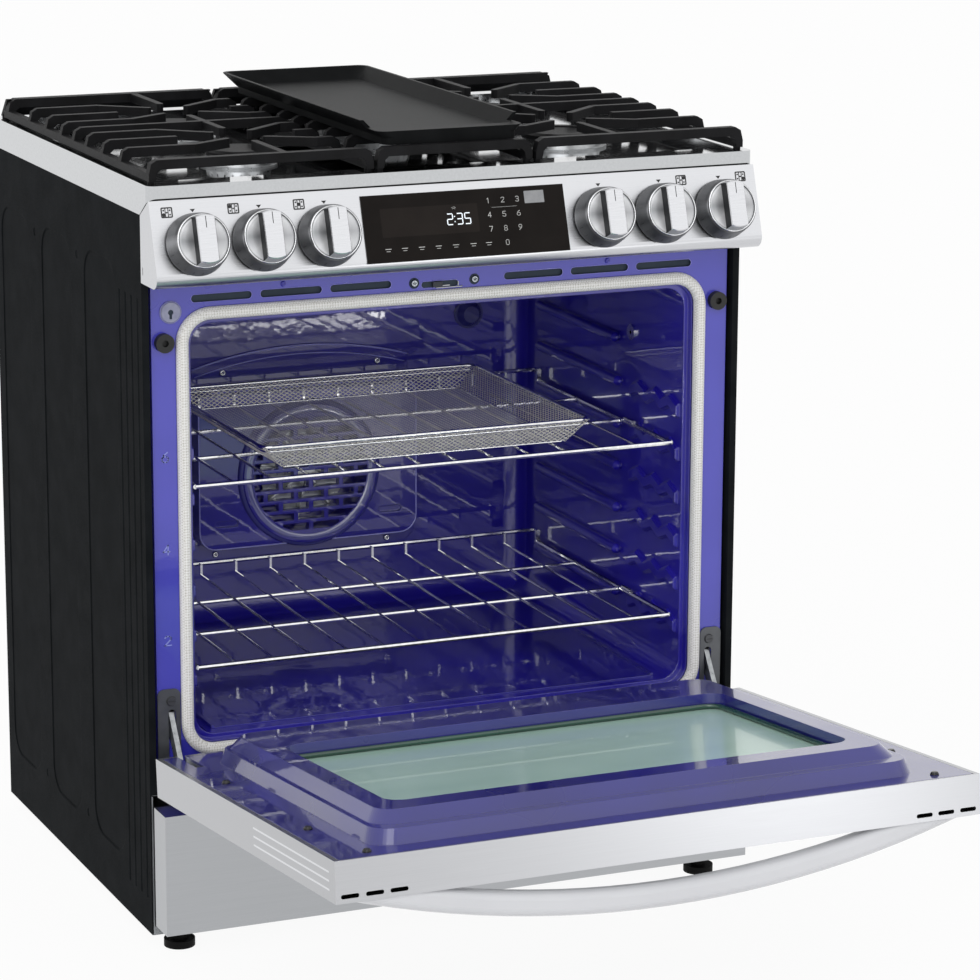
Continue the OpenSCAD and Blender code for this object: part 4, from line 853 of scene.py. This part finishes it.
# small generic signal mark over the clock
for r in (1.6, 3.2):
    q = [(-13.6 + r * math.cos(rad(a)), -31.6 + r * math.sin(rad(a))) for a in (40, 65, 90, 115, 140)]
    for u, v in zip(q, q[1:]):
        line(keys, glass_at, u, v, 0.4)
keys.done("keypad_print", "root", PRINT)
clock = Build()
for ch, x in (("2", -19.5), ("3", -7.3), ("5", 2.6)):
    seven(clock, glass_at, ch, x, -42.5, 12.5, 1.25)
for y in (-39.5, -45.5):
    line(clock, glass_at, (-13.7, y), (-13.5, y), 1.2)
clock.done("clock_digits", "root", LIT)
pane = Build()
flat(pane, glass_at, ring(-105, 16, -59, -25.5, 1.0, 2), -0.06, 0.08)
pane.done("display_pane", "root", PANE)
key = Build()
flat(key, glass_at, ring(76.5, 101.5, -29.5, -15, 0.6, 2), 0.05, 0.15)
key.done("start_key", "root", KEY)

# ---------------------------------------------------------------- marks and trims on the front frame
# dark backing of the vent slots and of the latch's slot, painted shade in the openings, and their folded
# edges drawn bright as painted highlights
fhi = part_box("front_frame")[1]
VX = CAD_BOX[1][0] / MM - 13  # the slots' ends are measured inwards from here
VZ, LZ = fhi.z / MM - 22.8, fhi.z / MM - 30.4  # middle of the vent slots, lower edge of the latch's slot
VENT_H, VENT_R = 4.75, 4.65  # a slot's half height and end radius
back, rims = Build(), Build()
for side in (-1, 1):
    for far, near in ((295, 218.5), (208.5, 132.5), (122.5, 48.5)):
        x0, x1 = sorted((side * (VX - far), side * (VX - near)))
        back.prism(upright(3.2, ring(x0 - 3, x1 + 3, VZ - 8, VZ + 8, 5, 4)), (0, 0.8 * MM, 0))
        rims.tube(upright(0.25, ring(x0, x1, VZ - VENT_H, VZ + VENT_H, VENT_R, 8)), 0.55 * MM, 6, closed=True)
back.prism(upright(0.9, ring(-33.8, 12.8, LZ + 0.2, LZ + 7.8, 3.7, 6)), (0, 0.4 * MM, 0))
back.done("vent_shade_backing", "root", SLATE_DARK_AND_SHADE)

# the latch's lip and tongue in its slot
lip = Build()
lip.prism(level(LZ - 0.6, ((-16, 0.3), (-16, -2.6), (16.5, -2.6), (18.5, -1.4), (18.5, 0.3))),
          (0, 0, 0.9 * MM))
lip.prism(upright(0.3, ((12, LZ + 0.3), (13, LZ + 0.3), (13, LZ + 6.0), (12, LZ + 6.0))), (0, -1.6 * MM, 0))
lip.prism(upright(0.3, ((-18, LZ + 1.2), (2, LZ + 1.2), (2, LZ + 2.6), (-18, LZ + 2.0))), (0, -1.2 * MM, 0))
lip.done("latch_lip", "root", STEEL_GREY, "polished")

# the latch's two screws: a dark ring round the head and a five-point drive, drawn dark as painted shade in
# its recess
wash = Build()
HEAD_R, HEAD_Z = 4.5, LZ + 6.9
for x in (-43, 33.6):
    wash.lathe(lambda a, b, h: F(x + a, -h, HEAD_Z + b),
               [(HEAD_R + 0.1, 0), (HEAD_R + 2.0, 0), (HEAD_R + 1.7, 0.7), (HEAD_R + 0.1, 0.9)], 28)
    for i in range(5):
        a = rad(90 + 72 * i)
        c, e = Vector((math.cos(a), math.sin(a))), Vector((-math.sin(a), math.cos(a)))
        point = [c * 0.6 - e * 0.5, c * 2.5 - e * 0.35, c * 2.5 + e * 0.35, c * 0.6 + e * 0.5]
        wash.prism(upright(-2.25, [(x + v.x, HEAD_Z + v.y) for v in point]), (0, -0.08 * MM, 0))
wash.done("screw_rims", "root", SLATE_DARK_AND_SHADE)
# the latch slot's rim, bright as painted highlight
rims.tube(upright(0.25, ring(-34, 13, LZ, LZ + 8, 3.9, 8)), 0.5 * MM, 6, closed=True)
rims.done("vent_rims", "root", VENT_RIM_HIGHLIGHT, "enamel_frame", True)

# keyhole plug: raised rim and the dark keyhole, a round over a slot, drawn flat as painted shade in the hole
PX, PZ = 23.5 - VX, fhi.z / MM - 36.5
HOLE_R, HOLE_Y = 3.1, -1.05
plug = Build()
plug.lathe(lambda a, b, h: F(PX + a, -h, PZ + b),
           [(11.7, 0), (13.3, 0), (13.2, 1.3), (12.6, 1.9), (11.9, 1.7)], 40)
plug.done("plug_rim", "root", PLUG_RIM, "enamel_frame", True)
hole = Build()
hole.prism(upright(HOLE_Y, [(PX + HOLE_R * math.cos(rad(a)), PZ + HOLE_R * math.sin(rad(a)))
                            for a in range(0, 360, 20)]), (0, 0.05 * MM, 0))
hole.prism(upright(HOLE_Y, [(PX - 1.5, PZ - 7.8), (PX + 1.5, PZ - 7.8), (PX + 1.5, PZ - 2.5),
                            (PX - 1.5, PZ - 2.5)]), (0, 0.05 * MM, 0))
hole.done("plug_keyhole", "root", SLATE_DARK_AND_SHADE)

# ---------------------------------------------------------------- marks on the door
# dark green ring round the window: partly the inner pane's green edge, partly painted shade and painted
# reflection along the window's inner wall
WIN_W, WIN_LOW, WIN_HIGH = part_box("door_glass_inner")[1].x / MM - 10, 145, 476
SEAL_IN, SEAL_R = 3.4, 3.1  # how far the edge lies inside the window, and its radius
seal = Build()
seal.tube([in_door(x, 15.4, u) for x, u in ring(-WIN_W + SEAL_IN, WIN_W - SEAL_IN, WIN_LOW + SEAL_IN,
                                                WIN_HIGH - SEAL_IN, 19, 8)], SEAL_R * MM, 8, closed=True)
seal.done("window_edge", "door", GLASS_EDGE_AND_SHADE, "gasket", True)

# pressed lines on the sides of the door, long and with round ends, in paler steel than the door as painted
# highlights
LINE_LOW, LINE_HIGH = 334, 558
ribs = Build()
dlo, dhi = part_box("door_skin")
for side in (-1, 1):
    x = (dlo.x if side < 0 else dhi.x) / MM
    for y in (-14.5, -24.0, -33.5):
        ends = []
        for a in range(15, 375, 30):
            s = math.sin(rad(a))
            ends.append(in_door(x, y + 1.1 * math.cos(rad(a)), (LINE_HIGH if s > 0 else LINE_LOW) + 3 * s))
        ribs.prism(ends, (side * 0.09 * MM, 0, 0))
ribs.done("door_side_lines", "door", RIB_HIGHLIGHT, "brushed")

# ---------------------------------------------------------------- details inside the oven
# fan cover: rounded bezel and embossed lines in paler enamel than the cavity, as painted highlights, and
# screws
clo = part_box("fan_cover")[0]
cy, cz = clo.y / MM - FY + 7.6, (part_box("fan_blade")[0].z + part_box("fan_blade")[1].z) / 2 / MM
bz = Build()
bz.lathe(lambda x, y, z: F(x, cy - z, cz + y),
         [(79.2, 0.4), (79.4, 5.6), (80.8, 7.6), (84.0, 8.2), (88.0, 7.9), (92.4, 6.6), (96.2, 3.6),
          (98.6, 0.4)], 96)
bz.done("fan_bezel", "root", BEZEL_HIGHLIGHT, "enamel_blue", True)
em = Build()
top = cz + 141.5
ARCH_R, ARCH_STEPS = 520, 24
for x1, dz, r in ((150, 0.0, 1.3), (146, -11.0, 0.9)):
    xs = [-x1 + 2 * x1 * i / ARCH_STEPS for i in range(ARCH_STEPS + 1)]
    arch = [(x, top + 22 + dz - ARCH_R + math.sqrt(ARCH_R ** 2 - x ** 2)) for x in xs]
    em.tube(upright(cy + 28.6, arch), r * MM, 8)
em.tube(upright(cy - 0.1, ring(-151, 151, cz - 92.5, cz + 115.5, 23, 6)), 1.0 * MM, 8, closed=True)
em.done("fan_cover_lines", "root", EDGE_HIGHLIGHT, "enamel_blue", True)
cs = Build()
for x, z in ((-107.5, cz + 135), (107.5, cz + 135), (-120.5, cz - 106), (120.5, cz - 106)):
    cs.lathe(lambda a, b, h: F(x + a, cy + 29.0 - h, z + b),
             [(0.8, 0), (4.6, 0), (4.6, 1.4), (3.6, 2.6), (1.8, 3.0), (1.6, 2.2), (0.8, 2.2)], 20)
cs.done("fan_cover_screws", "root", CHROME, "polished", True)

# shelf numbers pressed into the frame, in paler enamel than the frame as painted highlights
nums = Build()
for ch, z in (("6", 593.6), ("4", 484.0), ("2", 375.0)):
    digit(nums, lambda x, y, w: F(x, -w, y), ch, -352, z, 11, 1.6, lift=-0.1, thick=0.5)
nums.done("shelf_numbers", "root", NUMBER_HIGHLIGHT, "enamel_frame")


# ---------------------------------------------------------------- stage
WORLD_SOFT, WORLD_SEEN = 0.55, 1.0  # the world's light on surfaces, and its white as seen
FLOOR_GREY, FLOOR_GLOW = 0.93, 0.94  # the floor's own colour, and the share of white it shows


def seen_rays(nt):
    """1 for camera, glossy and transmission rays, 0 for the others."""
    lp = nt.nodes.new("ShaderNodeLightPath")
    seen = lp.outputs["Is Camera Ray"]
    for kind in ("Is Glossy Ray", "Is Transmission Ray"):
        m = nt.nodes.new("ShaderNodeMath")
        m.operation = "MAXIMUM"
        nt.links.new(seen, m.inputs[0])
        nt.links.new(lp.outputs[kind], m.inputs[1])
        seen = m.outputs[0]
    return seen


def mixed(nt, out, fac, a, b):
    """Send to the output a where fac is 0 and b where it is 1."""
    mix = nt.nodes.new("ShaderNodeMixShader")
    nt.links.new(fac, mix.inputs[0])
    nt.links.new(a.outputs[0], mix.inputs[1])
    nt.links.new(b.outputs[0], mix.inputs[2])
    nt.links.new(mix.outputs[0], nt.nodes.new(out).inputs[0])


def stage_world():
    """White where it is seen, softer where it lights."""
    w = bpy.data.worlds.new("studio")
    bpy.context.scene.world = w
    w.use_nodes = True
    nt = w.node_tree
    nt.nodes.clear()
    soft, white = nt.nodes.new("ShaderNodeBackground"), nt.nodes.new("ShaderNodeBackground")
    for node, strength in ((soft, WORLD_SOFT), (white, WORLD_SEEN)):
        node.inputs[0].default_value = (1, 1, 1, 1)
        node.inputs[1].default_value = strength
    mixed(nt, "ShaderNodeOutputWorld", seen_rays(nt), soft, white)


stage_world()


def floor():
    """Pale ground that shows nearly white and takes a faint shadow."""
    me = bpy.data.meshes.new("floor")
    s = 40
    me.from_pydata([(-s, -s, 0), (s, -s, 0), (s, s, 0), (-s, s, 0)], [], [(0, 1, 2, 3)])
    o = bpy.data.objects.new("floor", me)
    bpy.context.scene.collection.objects.link(o)
    m = bpy.data.materials.new("floor_pale")
    m.use_nodes = True
    nt = m.node_tree
    nt.nodes.clear()
    grey = nt.nodes.new("ShaderNodeBsdfDiffuse")
    grey.inputs[0].default_value = (FLOOR_GREY, FLOOR_GREY, FLOOR_GREY, 1)
    white = nt.nodes.new("ShaderNodeEmission")
    white.inputs[0].default_value = (1, 1, 1, 1)
    share = nt.nodes.new("ShaderNodeMath")
    share.operation = "MULTIPLY"
    share.inputs[1].default_value = FLOOR_GLOW
    nt.links.new(seen_rays(nt), share.inputs[0])
    mixed(nt, "ShaderNodeOutputMaterial", share.outputs[0], grey, white)
    me.materials.append(m)


floor()


def sun(name, strength, angle, direction):
    """Sun lamp; angle is its softness in degrees."""
    light = bpy.data.lights.new(name, "SUN")
    light.energy = strength
    light.angle = rad(angle)
    o = bpy.data.objects.new(name, light)
    o.rotation_mode = "QUATERNION"
    o.rotation_quaternion = Vector(direction).to_track_quat("-Z", "Y")
    bpy.context.scene.collection.objects.link(o)


def area(name, power, size, size_y, loc, target):
    """Rectangular lamp at loc that faces target and isn't seen itself."""
    light = bpy.data.lights.new(name, "AREA")
    light.energy = power
    light.size = size
    light.shape = "RECTANGLE"
    light.size_y = size_y
    o = bpy.data.objects.new(name, light)
    o.location = loc
    o.rotation_mode = "QUATERNION"
    o.rotation_quaternion = (Vector(target) - Vector(loc)).to_track_quat("-Z", "Y")
    o.visible_camera = False
    bpy.context.scene.collection.objects.link(o)


sun("key", 0.65, 40, (0.35, 0.75, -0.9))
sun("front", 0.55, 50, (0.55, 0.8, -0.22))
sun("fill", 0.2, 60, (-0.5, 0.8, -0.3))
area("strip", 1.4, 0.44, 0.1, (1.04, -2.4, 0.08), (0.0, 0.3, 0.5))
